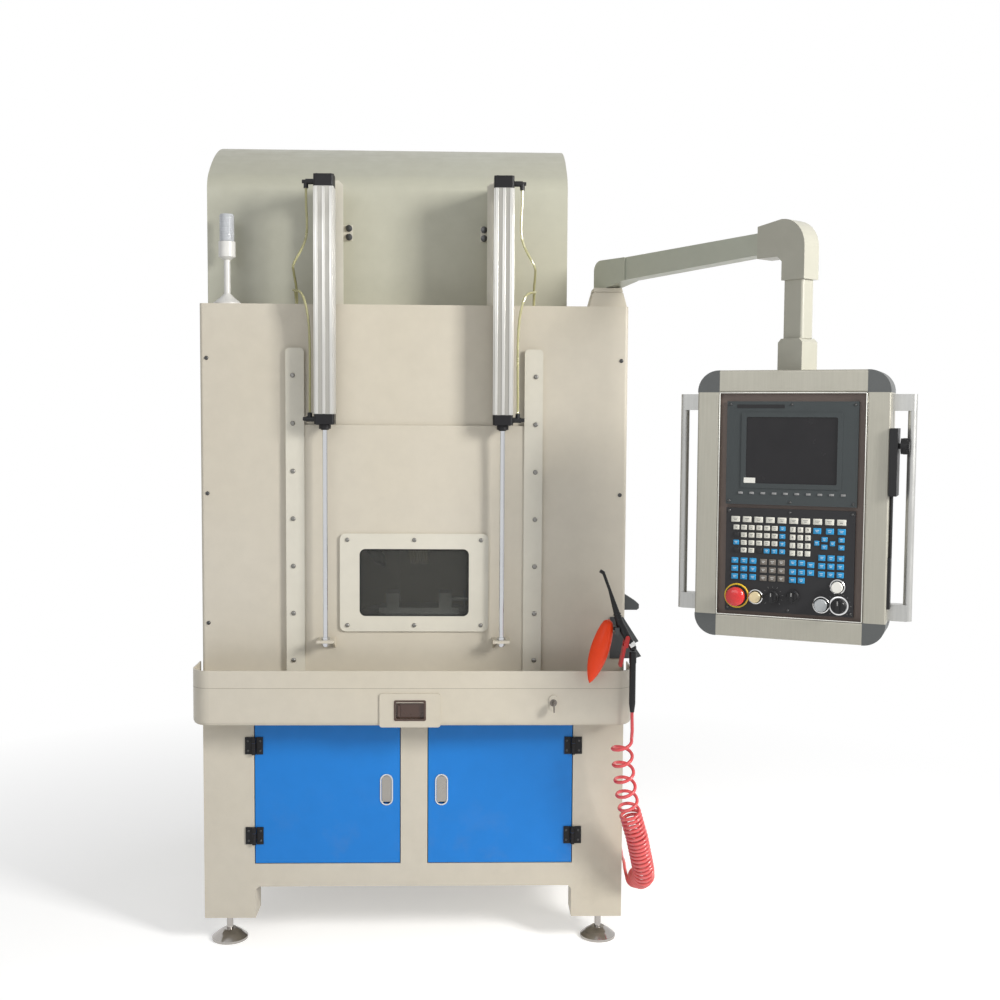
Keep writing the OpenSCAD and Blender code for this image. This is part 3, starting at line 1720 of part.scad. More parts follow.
module bed() color(steel) {
    x1 = half_w - sheet - bed_in;
    difference() {
        union() {
            block(-x1, x1, sheet + bed_in, body_d - sheet - bed_in, bed_z, bed_top);
            for (s = [-1, 1]) {
                xr = drawer_x + s * (drawer_w / 2 + run_gap + rib_t / 2);
                block(xr - rib_t / 2, xr + rib_t / 2, sheet + bed_in, body_d - sheet - bed_in, base_top, bed_z);
                block(s * x1 - (s > 0 ? rib_t : 0), s * x1 + (s > 0 ? 0 : rib_t), sheet + bed_in,
                    body_d - sheet - bed_in, base_top, bed_z);
            }
            translate([0, table_y, bed_top - overrun]) {
                cylinder(d = table_foot_d, h = table_foot_h + overrun);
                cylinder(d = table_base_d, h = table_up - table_t - seat_gap + overrun);
            }
        }
        translate([0, table_y, table_top - table_t - table_shaft_l - overrun])
            cylinder(d = table_shaft_d + 2 * fit_gap, h = table_shaft_l + 2 * overrun);
        block(drawer_x - chute_w / 2, drawer_x + chute_w / 2, chute_y0, chute_y0 + chute_l,
            bed_z - overrun, bed_top + overrun);
    }
}

module rotary_table() color(silver) {
    translate([0, table_y, table_top - table_t]) {
        difference() {
            cylinder(d = table_d, h = table_t);
            for (a = [0:90:270])
                rotate(a)
                    translate([table_shaft_d / 2, -table_slot_w / 2, table_t - table_slot_d])
                        cube([table_d, table_slot_w, table_slot_d + overrun]);
            for (i = [0:table_holes - 1])
                rotate((i + 0.5) * 360 / table_holes)
                    translate([table_pcd / 2, 0, -overrun])
                        cylinder(d = table_hole_d, h = table_t + 2 * overrun);
        }
        translate([0, 0, -table_shaft_l])
            cylinder(d = table_shaft_d, h = table_shaft_l);
    }
}

vise_w = 210;
vise_d = 80;
vise_t = 14;
jaw_w = 34;
jaw_h = 38;
jaw_in = 18;
screw_d = 12;
screw_out = 46;

module work_vise() color(steel) {
    translate([0, table_y, table_top]) {
        difference() {
            union() {
                block(-vise_w / 2, vise_w / 2, -vise_d / 2, vise_d / 2, 0, vise_t);
                for (s = [-1, 1])
                    block(s * (vise_w / 2 - jaw_in - jaw_w / 2) - jaw_w / 2,
                        s * (vise_w / 2 - jaw_in - jaw_w / 2) + jaw_w / 2, -vise_d / 2, vise_d / 2,
                        vise_t - overrun, vise_t + jaw_h);
            }
            for (s = [-1, 1])
                block(s * (vise_w / 2 - jaw_in - jaw_w) - overrun * 2, s * (vise_w / 2 - jaw_in - jaw_w) + overrun * 2,
                    -vise_d / 4, vise_d / 4, vise_t + jaw_h / 2, vise_t + jaw_h + overrun);
        }
        rod_x(vise_w / 2 - jaw_in - overrun, vise_w / 2 - jaw_in + screw_out, 0, vise_t + jaw_h / 2, screw_d);
        translate([vise_w / 2 - jaw_in + screw_out - screw_d, 0, vise_t + jaw_h / 2 - screw_out / 2])
            cylinder(d = screw_d / 2, h = screw_out);
    }
}

column_w = 220;
column_d = 160;
column_h = 1080;
column_wall = 10;
guide_w = 20;
guide_x = 80;
guide_end = 50;
carriage_t = 20;
carriage_h = 260;
carriage_over = 8;
truck_w = 48;
truck_h = 60;
truck_t = 32;
column_back = 200;
column_y = body_d - column_back;
spindle_z = bed_top + spindle_up;
housing_d = 110;
housing_x0 = 45;
housing_l = 145;
head_arm_w = 110;
head_arm_h = 110;
motor_d = 130;
motor_l = 150;
flange_d = 90;
flange_t = 8;
arbor_nut_d = 46;
arbor_nut_l = 12;
head_up = 30;

module column() color(cream) {
    difference() {
        block(-column_w / 2, column_w / 2, column_y, column_y + column_d, bed_top, bed_top + column_h);
        block(column_wall - column_w / 2, column_w / 2 - column_wall, column_y + column_wall,
            column_y + column_d - column_wall, bed_top + column_wall, bed_top + column_h - column_wall);
    }
    for (s = [-1, 1])
        block(s * guide_x - guide_w / 2, s * guide_x + guide_w / 2, column_y - guide_w, column_y,
            bed_top + guide_end, bed_top + column_h - guide_end);
}

module head_carriage() {
    y0 = column_y - truck_t;
    z0 = spindle_z + head_up;
    color(steel)
        difference() {
            union() {
                block(-guide_x - truck_w / 2 - carriage_over, housing_x0 + housing_l, y0 - carriage_t, y0, z0,
                    z0 + carriage_h);
                for (s = [-1, 1], z = [z0 + carriage_over, z0 + carriage_h - carriage_over - truck_h])
                    block(s * guide_x - truck_w / 2, s * guide_x + truck_w / 2, y0, column_y - overrun, z, z + truck_h);
                block(housing_x0 + carriage_over, housing_x0 + housing_l - carriage_over, table_y, y0 - carriage_t,
                    z0, z0 + head_arm_h);
                rod_x(housing_x0, housing_x0 + housing_l, table_y, spindle_z, housing_d);
                block(housing_x0 + carriage_over, housing_x0 + housing_l - carriage_over, table_y - housing_d / 3,
                    table_y + housing_d / 3, spindle_z, z0 + head_arm_h);
            }
            for (s = [-1, 1])
                block(s * guide_x - guide_w / 2 - seat_gap, s * guide_x + guide_w / 2 + seat_gap,
                    column_y - guide_w - seat_gap, column_y, z0 - overrun, z0 + carriage_h + overrun);
            rod_x(housing_x0 - overrun, housing_x0 + housing_l + overrun, table_y, spindle_z,
                spindle_d + 2 * fit_gap);
        }
    color(dark)
        difference() {
            rod_x(housing_x0 + housing_l, housing_x0 + housing_l + motor_l, table_y, spindle_z, motor_d);
            rod_x(housing_x0 + housing_l - overrun, housing_x0 + housing_l + spindle_d, table_y, spindle_z,
                spindle_d + 2 * fit_gap);
        }
}

module spindle() color(silver) {
    rod_x(-wheel_w / 2 - flange_t - arbor_nut_l, housing_x0 + housing_l + spindle_d / 2, table_y, spindle_z, spindle_d);
    rod_x(wheel_w / 2, wheel_w / 2 + flange_t, table_y, spindle_z, flange_d);
    rod_x(-wheel_w / 2 - flange_t, -wheel_w / 2, table_y, spindle_z, flange_d);
    translate([-wheel_w / 2 - flange_t - arbor_nut_l, table_y, spindle_z])
        rotate([0, 90, 0])
            cylinder(d = arbor_nut_d, h = arbor_nut_l, $fn = 6);
}

ply_count = 8;
ply_groove = 4;

module buffing_wheel() color("#e9dcc0") {
    r = wheel_d / 2;
    w = wheel_w / ply_count;
    translate([-wheel_w / 2, table_y, spindle_z])
        rotate([0, 90, 0])
            rotate_extrude()
                polygon(concat(
                    [[spindle_d / 2 + fit_gap, 0]],
                    [for (i = [0:ply_count - 1], q = [[-ply_groove, 0], [0, w / 4], [0, w * 3 / 4], [-ply_groove, w]])
                        if (q[0] == 0 || i > 0 || q[1] == 0) [r + q[0], i * w + q[1]]],
                    [[spindle_d / 2 + fit_gap, wheel_w]]
                ));
}

spray_up = 416;
spray_z = base_top + spray_up;
spray_y = 300;
spray_bar_d = 20;
spray_plate = 70;
spray_x = -150;
spray_body_d = 34;
spray_body_l = 80;
spray_tip_d = 10;
spray_tip_l = 24;
spray_tilt = 145;

module spray_arm() color(dark) {
    x0 = sheet - half_w;
    block(x0, x0 + sheet, spray_y - spray_plate / 2, spray_y + spray_plate / 2, spray_z - spray_plate / 2,
        spray_z + spray_plate / 2);
    rod_x(x0 + sheet, spray_x, spray_y, spray_z, spray_bar_d);
    translate([spray_x, spray_y, spray_z])
        rotate([0, spray_tilt, 0]) {
            translate([0, 0, -spray_body_d])
                cylinder(d = spray_body_d, h = spray_body_l + spray_body_d);
            translate([0, 0, spray_body_l])
                cylinder(d1 = spray_body_d, d2 = spray_tip_d, h = spray_tip_l);
        }
}

module at_origin() {
    translate(origin_shift)
        children();
}

at_origin() base_frame();
at_origin() base_panels();
at_origin() leveling_feet();
at_origin() control_plate();
at_origin() left_cabinet_door();
at_origin() right_cabinet_door();
at_origin() hinge_plates();
at_origin() left_latch();
at_origin() right_latch();
at_origin() enclosure();
at_origin() hood();
at_origin() tray();
at_origin() lock_key();
at_origin() dust_drawer();
at_origin() guide_rails();
at_origin() lifting_door();
at_origin() window_frame();
at_origin() window_glass();
at_origin() piston_rods();
at_origin() cylinder_barrels();
at_origin() cylinder_caps();
at_origin() cylinder_brackets();
at_origin() speed_fittings();
at_origin() air_tubes();
at_origin() lamp_stand();
at_origin() lamp_lens();
at_origin() arm_pedestal();
at_origin() arm_swivel();
at_origin() arm_tube();
at_origin() arm_elbow();
at_origin() drop_tube();
at_origin() panel_frame();
at_origin() panel_corners();
at_origin() panel_housing();
at_origin() display_unit();
at_origin() keyboard_unit();
at_origin() keypad_keys();
at_origin() stop_button();
at_origin() start_button();
at_origin() reset_button();
at_origin() lamp_button();
at_origin() mode_selector();
at_origin() feed_knob();
at_origin() speed_knob();
at_origin() grab_handles();
at_origin() handwheel_box();
at_origin() handwheel_knob();
at_origin() air_gun();
at_origin() gun_trigger();
at_origin() gun_holder();
at_origin() hose_fittings();
at_origin() coiled_hose();
at_origin() bed();
at_origin() column();
at_origin() head_carriage();
at_origin() spindle();
at_origin() buffing_wheel();
at_origin() rotary_table();
at_origin() work_vise();
at_origin() spray_arm();
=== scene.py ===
"""Dresses the rotary polishing machine: finishes, fasteners, controls, air gun and hose."""
import math

import bmesh
import bpy
from mathutils import Matrix, Vector


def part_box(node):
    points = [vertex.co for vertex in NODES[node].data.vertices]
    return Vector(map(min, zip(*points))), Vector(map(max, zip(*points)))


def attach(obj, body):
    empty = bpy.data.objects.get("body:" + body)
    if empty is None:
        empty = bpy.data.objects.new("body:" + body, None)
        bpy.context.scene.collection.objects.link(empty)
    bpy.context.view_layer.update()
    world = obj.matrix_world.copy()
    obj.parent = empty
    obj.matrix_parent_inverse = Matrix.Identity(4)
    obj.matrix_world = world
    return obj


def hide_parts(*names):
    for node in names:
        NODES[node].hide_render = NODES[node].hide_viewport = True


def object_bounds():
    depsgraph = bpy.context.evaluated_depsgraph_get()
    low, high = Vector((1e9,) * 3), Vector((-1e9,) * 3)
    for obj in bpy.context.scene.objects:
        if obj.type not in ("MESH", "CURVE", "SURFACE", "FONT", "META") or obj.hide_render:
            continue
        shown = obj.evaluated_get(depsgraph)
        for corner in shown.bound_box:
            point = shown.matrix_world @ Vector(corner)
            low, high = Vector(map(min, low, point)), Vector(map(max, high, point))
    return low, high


bl_info = {
    "name": "Rotary polishing machine",
    "version": (1, 0, 0),
    "blender": (4, 5, 0),
    "location": "3D View > Sidebar > Polisher",
    "description": "Builds the finishes and fittings of a rotary polishing machine",
    "category": "Object",
}

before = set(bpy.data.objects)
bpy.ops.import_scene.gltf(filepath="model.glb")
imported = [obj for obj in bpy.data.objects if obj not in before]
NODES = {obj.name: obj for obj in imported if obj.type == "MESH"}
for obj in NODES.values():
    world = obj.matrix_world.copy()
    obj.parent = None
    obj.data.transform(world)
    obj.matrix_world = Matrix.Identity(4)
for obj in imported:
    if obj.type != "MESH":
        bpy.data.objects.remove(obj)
CAD_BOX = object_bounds()

# Places are in millimetres as in the part's source: across, back and up from the middle of the
# cabinet's front, whose place in the frame is SHIFT
SHIFT = Vector((458, -50, 0))


def ends(node):
    """The low and the high corner of a node of the frame."""
    return [corner * 1000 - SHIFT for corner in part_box(node)]


BODY_LOW, BODY_HIGH = ends("enclosure")
BASE_TOP, BODY_TOP, BODY_SIDE = BODY_LOW.z, BODY_HIGH.z, BODY_HIGH.x
BODY_BACK = ends("hood")[1].y
TRAY_LOW, TRAY_HIGH = ends("tray")
WINDOW_LOW, WINDOW_HIGH = ends("window_frame")
WINDOW_Z = (WINDOW_LOW.z + WINDOW_HIGH.z) / 2
DOORWAY_LOW, DOORWAY_TOP = BASE_TOP - 365, BASE_TOP - 12
HINGE_X, HINGE_SHARES = 387.5, (0.2, 0.83)
PANEL_YAW = math.radians(24)
PANEL_AXIS = (813.04, -396.18, 1117)
PANEL_FRONT, UNIT_FACE = -55, -51
GUN = (BODY_SIDE, -123.3, TRAY_HIGH.z)
FRONT, BACK, UP, DOWN = (0, -1, 0), (0, 1, 0), (0, 0, 1), (0, 0, -1)


def spot(x, y, z):
    """A place on the machine, in metres in the frame."""
    return (Vector((x, y, z)) + SHIFT) / 1000


def on_panel():
    """The operator panel's own axes, in millimetres, placed in the frame."""
    return (Matrix.Translation(spot(*PANEL_AXIS)) @ Matrix.Rotation(-PANEL_YAW, 4, "Z")
            @ Matrix.Scale(0.001, 4))


def on_machine():
    """The machine's own axes, in millimetres, placed in the frame."""
    return Matrix.Translation(spot(0, 0, 0)) @ Matrix.Scale(0.001, 4)


def on_gun():
    """The air gun's own axes, in millimetres, placed in the frame."""
    return Matrix.Translation(spot(*GUN)) @ Matrix.Scale(0.001, 4)


# Settings that a user would change

def hue(name, description, default):
    """A setting for the colour of a finish."""
    return bpy.props.FloatVectorProperty(name=name, description=description, subtype="COLOR",
                                         size=3, min=0, max=1, default=default)


def size(name, description, low, high, default):
    """A setting for a size in metres."""
    return bpy.props.FloatProperty(name=name, description=description, unit="LENGTH",
                                   min=low, max=high, default=default)


def power(name, description, default):
    """A setting for the power of a light."""
    return bpy.props.FloatProperty(name=name, description=description, unit="POWER",
                                   min=0, max=500, default=default)


class MachineColours(bpy.types.PropertyGroup):
    """Colours of the machine's finishes."""
    cream: hue("Cream coat", "Powder coat of the cabinet", (0.59, 0.545, 0.46))
    blue: hue("Blue coat", "Powder coat of the cabinet doors", (0.006, 0.188, 0.6))
    taupe: hue("Taupe coat", "Face plate of the operator panel", (0.13, 0.094, 0.078))
    grip: hue("Gun grip", "Moulded grip of the air gun", (0.95, 0.06, 0.004))
    hose: hue("Hose", "Coiled air hose", (0.74, 0.06, 0.075))
    key_blue: hue("Blue keys", "Blue keys of the keyboard", (0.012, 0.27, 0.56))


class MachineSizes(bpy.types.PropertyGroup):
    """Sizes of the fittings."""
    screw_head: size("Screw head", "Diameter of the button head screws", 0.004, 0.02, 0.0115)
    small_screw: size("Small screw", "Diameter of the panel's screw heads", 0.002, 0.01, 0.006)
    rail_pitch: size("Rail screw pitch", "Distance between the screws of a guide rail",
                     0.05, 0.3, 0.1137)
    hose_d: size("Hose diameter", "Diameter of the coiled hose", 0.004, 0.012, 0.008)
    barrel_rib: size("Barrel rib", "Width of the ribs along the cylinders' barrels",
                     0.003, 0.01, 0.0075)


class MachineStudio(bpy.types.PropertyGroup):
    """Light of the studio."""
    key_power: power("Side light", "Power of the large light at the right", 150)
    fill_power: power("Front light", "Power of the soft light in front", 24)
    sky: bpy.props.FloatProperty(
        name="Room light", description="Strength of the light from all round",
        min=0, max=2, default=0.38)


# Making pieces

def soften(part, edges, by, steps=2):
    """Rounds edges of a part."""
    bmesh.ops.bevel(part, geom=edges, offset=by, offset_type="OFFSET", segments=steps, profile=0.5,
                    affect="EDGES", clamp_overlap=True, material=-1)


def push(part, grown, way):
    """Moves the end of an extrusion away from its start."""
    tips = [v for v in grown["geom"] if isinstance(v, bmesh.types.BMVert)]
    bmesh.ops.translate(part, verts=tips, vec=way)


def facing(way):
    """The turn that points Z along a direction."""
    return Vector(way).to_track_quat("Z", "Y").to_matrix().to_4x4()


def moved(*place):
    """The move to a place."""
    return Matrix.Translation(place)


def slab(low, high, round_by=0.0, steps=2):
    """A block between two corners, with rounded edges."""
    part = bmesh.new()
    low, high = Vector(low), Vector(high)
    spans = high - low
    bmesh.ops.create_cube(part, size=1, matrix=moved(*(low + high) / 2)
                          @ Matrix.Diagonal((*spans, 1)))
    if round_by:
        soften(part, part.edges[:], round_by, steps)
    return part


def bar(start, end, d0, d1=None, sides=24, round_by=0.0):
    """A round bar or cone between two places."""
    part = bmesh.new()
    a, b = Vector(start), Vector(end)
    bmesh.ops.create_cone(part, cap_ends=True, cap_tris=False, segments=sides, radius1=d0 / 2,
                          radius2=(d0 if d1 is None else d1) / 2, depth=(b - a).length,
                          matrix=moved(*(a + b) / 2) @ facing(b - a))
    if round_by:
        rims = [e for e in part.edges if any(len(f.verts) > 4 for f in e.link_faces)]
        soften(part, rims, round_by)
    return part


def turned(profile, start, toward, steps=32):
    """A shape turned from (radius, height) pairs, standing at start along toward."""
    part = bmesh.new()
    rim = [part.verts.new((r, 0, h)) for r, h in profile]
    line = [part.edges.new(pair) for pair in zip(rim, rim[1:])]
    bmesh.ops.spin(part, geom=rim + line, cent=(0, 0, 0), axis=(0, 0, 1), angle=2 * math.pi,
                   steps=steps, use_merge=True)
    bmesh.ops.remove_doubles(part, verts=part.verts[:], dist=1e-4)
    part.transform(moved(*start) @ facing(toward))
    return part


def rounded(w, h, r, steps=6):
    """The outline of a rounded rectangle."""
    points = []
    for k, (sx, sz) in enumerate(((1, 1), (-1, 1), (-1, -1), (1, -1))):
        for i in range(steps + 1):
            a = math.pi / 2 * (k + i / steps)
            points.append((sx * (w / 2 - r) + r * math.cos(a),
                           sz * (h / 2 - r) + r * math.sin(a)))
    return points


def plate(spans, depth, place):
    """A rounded rectangle of given width, height and radius, thickened along Y."""
    part = bmesh.new()
    face = part.faces.new([part.verts.new((x, 0, z)) for x, z in rounded(*spans)])
    push(part, bmesh.ops.extrude_face_region(part, geom=[face]), (0, depth, 0))
    part.transform(moved(*place))
    return part


def ring_of(outer, inner, depth, place, steps=6):
    """A flat ring between two rounded rectangles, thickened along Y."""
    part = bmesh.new()
    edges = []
    for spans in (outer, inner):
        line = [part.verts.new((x, 0, z)) for x, z in rounded(*spans, steps)]
        edges += [part.edges.new(pair) for pair in zip(line, line[1:] + line[:1])]
    bmesh.ops.bridge_loops(part, edges=edges)
    push(part, bmesh.ops.extrude_face_region(part, geom=part.faces[:]), (0, depth, 0))
    part.transform(moved(*place))
    return part


def put(piece, part, finish=0, place=None):
    """Adds a part to a piece, with one of the piece's finishes."""
    bmesh.ops.recalc_face_normals(part, faces=part.faces[:])
    if place is not None:
        part.transform(place)
    for face in part.faces:
        face.material_index = finish
    mesh = bpy.data.meshes.new("part")
    part.to_mesh(mesh)
    part.free()
    piece.from_mesh(mesh)
    bpy.data.meshes.remove(mesh)


def make(name, piece, finishes, body, place=None, stands_for=(), sharp=32):
    """Turns a piece's mesh into an object that rides on a body of the frame."""
    piece.transform(on_machine() if place is None else place)
    mesh = bpy.data.meshes.new(name)
    piece.to_mesh(mesh)
    piece.free()
    for finish in finishes:
        mesh.materials.append(finish)
    mesh.polygons.foreach_set("use_smooth", [True] * len(mesh.polygons))
    mesh.set_sharp_from_angle(angle=math.radians(sharp))
    obj = bpy.data.objects.new(name, mesh)
    bpy.context.scene.collection.objects.link(obj)
    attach(obj, body)
    if stands_for:
        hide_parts(*stands_for)
    return obj


# Finishes

def new_group(name, inputs, outputs):
    """An empty shader group with named sockets."""
    tree = bpy.data.node_groups.new(name, "ShaderNodeTree")
    for label, kind, value in inputs:
        tree.interface.new_socket(label, in_out="INPUT", socket_type=kind).default_value = value
    for label, kind in outputs:
        tree.interface.new_socket(label, in_out="OUTPUT", socket_type=kind)
    return tree, tree.nodes.new("NodeGroupInput"), tree.nodes.new("NodeGroupOutput")


def feed(node, values):
    """Gives a node's inputs their values, or links them to other nodes' outputs."""
    for key, value in values.items():
        if isinstance(value, bpy.types.NodeSocket):
            node.id_data.links.new(value, node.inputs[key])
        else:
            node.inputs[key].default_value = value


def add(tree, kind, values=None, **settings):
    """A shader node with its inputs and settings."""
    made = tree.nodes.new("ShaderNode" + kind)
    for key, value in settings.items():
        setattr(made, key, value)
    feed(made, values or {})
    return made


FLOAT, COLOUR, VECTOR = "NodeSocketFloat", "NodeSocketColor", "NodeSocketVector"


def noise(tree, vector, scale, detail, rough=0.5):
    """Noise on given coordinates."""
    return add(tree, "TexNoise", {"Vector": vector, "Scale": scale, "Detail": detail,
                                  "Roughness": rough}).outputs["Fac"]


def ranged(tree, value, a, b, c, d):
    """A value mapped from one range to another, and kept in it."""
    return add(tree, "MapRange", {"Value": value, "From Min": a, "From Max": b,
                                  "To Min": c, "To Max": d}).outputs["Result"]


def maths(tree, way, a, b):
    """Two values through one sum."""
    return add(tree, "Math", {0: a, 1: b}, operation=way).outputs[0]


def blended(tree, amount, a, b):
    """Two colours mixed by an amount."""
    return add(tree, "Mix", {0: amount, 6: a, 7: b}, data_type="RGBA").outputs[2]


def coat_group():
    """Powder coat or moulded plastic: mottling, fine grain, handling marks and dust low down."""
    tree, given, out = new_group("Coated surface", [
        ("Colour", COLOUR, (0.7, 0.66, 0.58, 1)), ("Tint", COLOUR, (0.6, 0.55, 0.42, 1)),
        ("Mottle", FLOAT, 0.25), ("Mottle scale", FLOAT, 1.6), ("Grain scale", FLOAT, 700.0),
        ("Roughness", FLOAT, 0.45), ("Dust", FLOAT, 0.0),
    ], [("Colour", COLOUR), ("Roughness", FLOAT), ("Height", FLOAT)])
    asked = given.outputs
    here = add(tree, "TexCoord").outputs["Object"]
    wide = ranged(tree, noise(tree, here, asked["Mottle scale"], 3), 0.35, 0.7, 0.0, 1.0)
    fine = noise(tree, here, 26.0, 4, 0.6)
    marks = ranged(tree, noise(tree, here, 7.0, 5, 0.65), 0.52, 0.78, 0.0, 1.0)
    colour = blended(tree, maths(tree, "MULTIPLY", wide, asked["Mottle"]),
                     asked["Colour"], asked["Tint"])
    colour = blended(tree, ranged(tree, fine, 0.3, 0.7, 0.0, 0.05), colour,
                     (0.02, 0.018, 0.015, 1))
    height = add(tree, "SeparateXYZ", {0: here}).outputs["Z"]
    low = ranged(tree, height, 0.07, 0.42, 1.0, 0.0)
    dust = maths(tree, "MULTIPLY", maths(tree, "MULTIPLY", low, marks), asked["Dust"])
    rough = maths(tree, "ADD", asked["Roughness"], ranged(tree, fine, 0.3, 0.7, -0.05, 0.07))
    feed(out, {"Colour": blended(tree, dust, colour, (0.3, 0.26, 0.2, 1)),
               "Roughness": maths(tree, "ADD", rough, maths(tree, "MULTIPLY", dust, 0.3)),
               "Height": noise(tree, here, asked["Grain scale"], 2)})
    return tree


def metal_group():
    """Drawn, brushed or plated metal: streaks along one direction, smudges and fine scratches."""
    tree, given, out = new_group("Worked metal", [
        ("Colour", COLOUR, (0.62, 0.63, 0.64, 1)), ("Shade", COLOUR, (0.4, 0.4, 0.4, 1)),
        ("Stretch", VECTOR, (1.0, 1.0, 1.0)), ("Streaks", FLOAT, 0.3), ("Roughness", FLOAT, 0.3),
    ], [("Colour", COLOUR), ("Roughness", FLOAT), ("Height", FLOAT)])
    asked = given.outputs
    here = add(tree, "TexCoord").outputs["Object"]
    stretched = add(tree, "VectorMath", {0: here, 1: asked["Stretch"]}, operation="MULTIPLY")
    streak = noise(tree, stretched.outputs[0], 420.0, 3)
    smudge = noise(tree, here, 14.0, 4, 0.6)
    amount = maths(tree, "MULTIPLY", ranged(tree, streak, 0.35, 0.65, 0.0, 1.0), asked["Streaks"])
    amount = maths(tree, "ADD", amount, ranged(tree, smudge, 0.45, 0.75, 0.0, 0.16))
    worn = ranged(tree, smudge, 0.35, 0.75, -0.06, 0.12)
    feed(out, {"Colour": blended(tree, amount, asked["Colour"], asked["Shade"]),
               "Roughness": maths(tree, "ADD", asked["Roughness"], worn), "Height": streak})
    return tree


# Stretch of the streaks that run up a drawn profile
ALONG = (1, 1, 0.02)

SOCKETS = {"ior": "IOR", "specular_level": "Specular IOR Level"}


def finish(name, group, values, bump, reach, **shader):
    """A material whose colour, roughness and bump come from a shared group."""
    if name in bpy.data.materials:
        return bpy.data.materials[name]
    made = bpy.data.materials.new(name)
    made.use_nodes = True
    tree = made.node_tree
    main = tree.nodes["Principled BSDF"]
    made_group = tree.nodes.new("ShaderNodeGroup")
    made_group.node_tree = bpy.data.node_groups[group]
    for key, value in values.items():
        if key in ("Colour", "Tint", "Shade"):
            value = (*value[:3], 1)
        made_group.inputs[key].default_value = value
    feed(main, {"Base Color": made_group.outputs["Colour"],
                "Roughness": made_group.outputs["Roughness"]})
    if bump:
        relief = add(tree, "Bump", {"Strength": bump, "Distance": reach,
                                    "Height": made_group.outputs["Height"]})
        feed(main, {"Normal": relief.outputs["Normal"]})
    for key, value in shader.items():
        main.inputs[SOCKETS.get(key, key.replace("_", " ").title())].default_value = value
    made.diffuse_color = (*values["Colour"][:3], 1)
    return made


def coated(name, colour, rough=0.45, tint=None, mottle=0.2, dust=0.0, grain=700.0, bump=0.12,
           **shader):
    """A coated or moulded finish."""
    return finish(name, "Coated surface", {
        "Colour": colour, "Tint": tint or tuple(c * 0.82 for c in colour), "Mottle": mottle,
        "Roughness": rough, "Dust": dust, "Grain scale": grain}, bump, 0.0003, **shader)


def metal(name, colour, rough=0.3, shade=None, stretch=(1, 1, 1), streaks=0.25, bump=0.05,
          **shader):
    """A worked metal finish."""
    shader.setdefault("metallic", 1.0)
    return finish(name, "Worked metal", {
        "Colour": colour, "Shade": shade or tuple(c * 0.72 for c in colour), "Stretch": stretch,
        "Roughness": rough, "Streaks": streaks}, bump, 0.0002, **shader)


def cream():
    r, g, b = bpy.context.scene.machine_colours.cream
    return coated("Cream coat", (r, g, b), 0.4, (r * 0.93, g * 0.9, b * 0.8), 0.45, 0.35,
                  coat_weight=0.12, coat_roughness=0.35)


def pale_coat():
    return coated("Pale cream coat", (0.65, 0.62, 0.535), 0.4, (0.6, 0.56, 0.45), 0.4,
                  coat_weight=0.12, coat_roughness=0.35)


def plated():
    return metal("Bright plated", (0.66, 0.66, 0.65), 0.26, streaks=0.2)


def black_plastic():
    return coated("Black plastic", (0.009, 0.009, 0.01), 0.42, (0.02, 0.02, 0.021), 0.4,
                  bump=0.2, specular_level=0.32)


def black_coat():
    return coated("Black coat", (0.007, 0.0065, 0.008), 0.4, (0.016, 0.016, 0.016), 0.3,
                  bump=0.15, specular_level=0.25)


def bezel_plastic():
    return coated("Bezel plastic", (0.046, 0.054, 0.056), 0.5, (0.038, 0.044, 0.046), 0.3,
                  bump=0.2, specular_level=0.3)


def dark_nickel():
    return metal("Dark nickel", (0.22, 0.2, 0.18), 0.3, streaks=0.1, bump=0.0)


# The barrels' anodised finish, darkened as painted shade between the ribs
def barrel_metal_painted_shade():
    return metal("Silver anodised painted shade", (0.36, 0.35, 0.32), 0.4, (0.3, 0.29, 0.26), ALONG, 0.15,
                 bump=0.0, metallic=0.75)


# A lighter copy of the same anodised finish for the ribs: painted highlight stripes
def rib_metal_painted_highlight():
    return metal("Anodised painted highlight", (0.6, 0.59, 0.56), 0.34, (0.52, 0.51, 0.48), ALONG, 0.15,
                 bump=0.0, metallic=0.8)


def dull_zinc():
    return metal("Dull zinc", (0.24, 0.235, 0.22), 0.38, streaks=0.1)


def dark_screw():
    return metal("Blackened screw", (0.09, 0.09, 0.09), 0.34, streaks=0.1)


def white_plastic():
    return coated("White plastic", (0.78, 0.77, 0.72), 0.32, (0.7, 0.68, 0.6), 0.3, bump=0.05)


def node_finish(node, material):
    """Gives a node of the frame its finish."""
    obj = NODES[node]
    if not obj.material_slots:
        obj.data.materials.append(material)
    for slot in obj.material_slots:
        slot.material = material


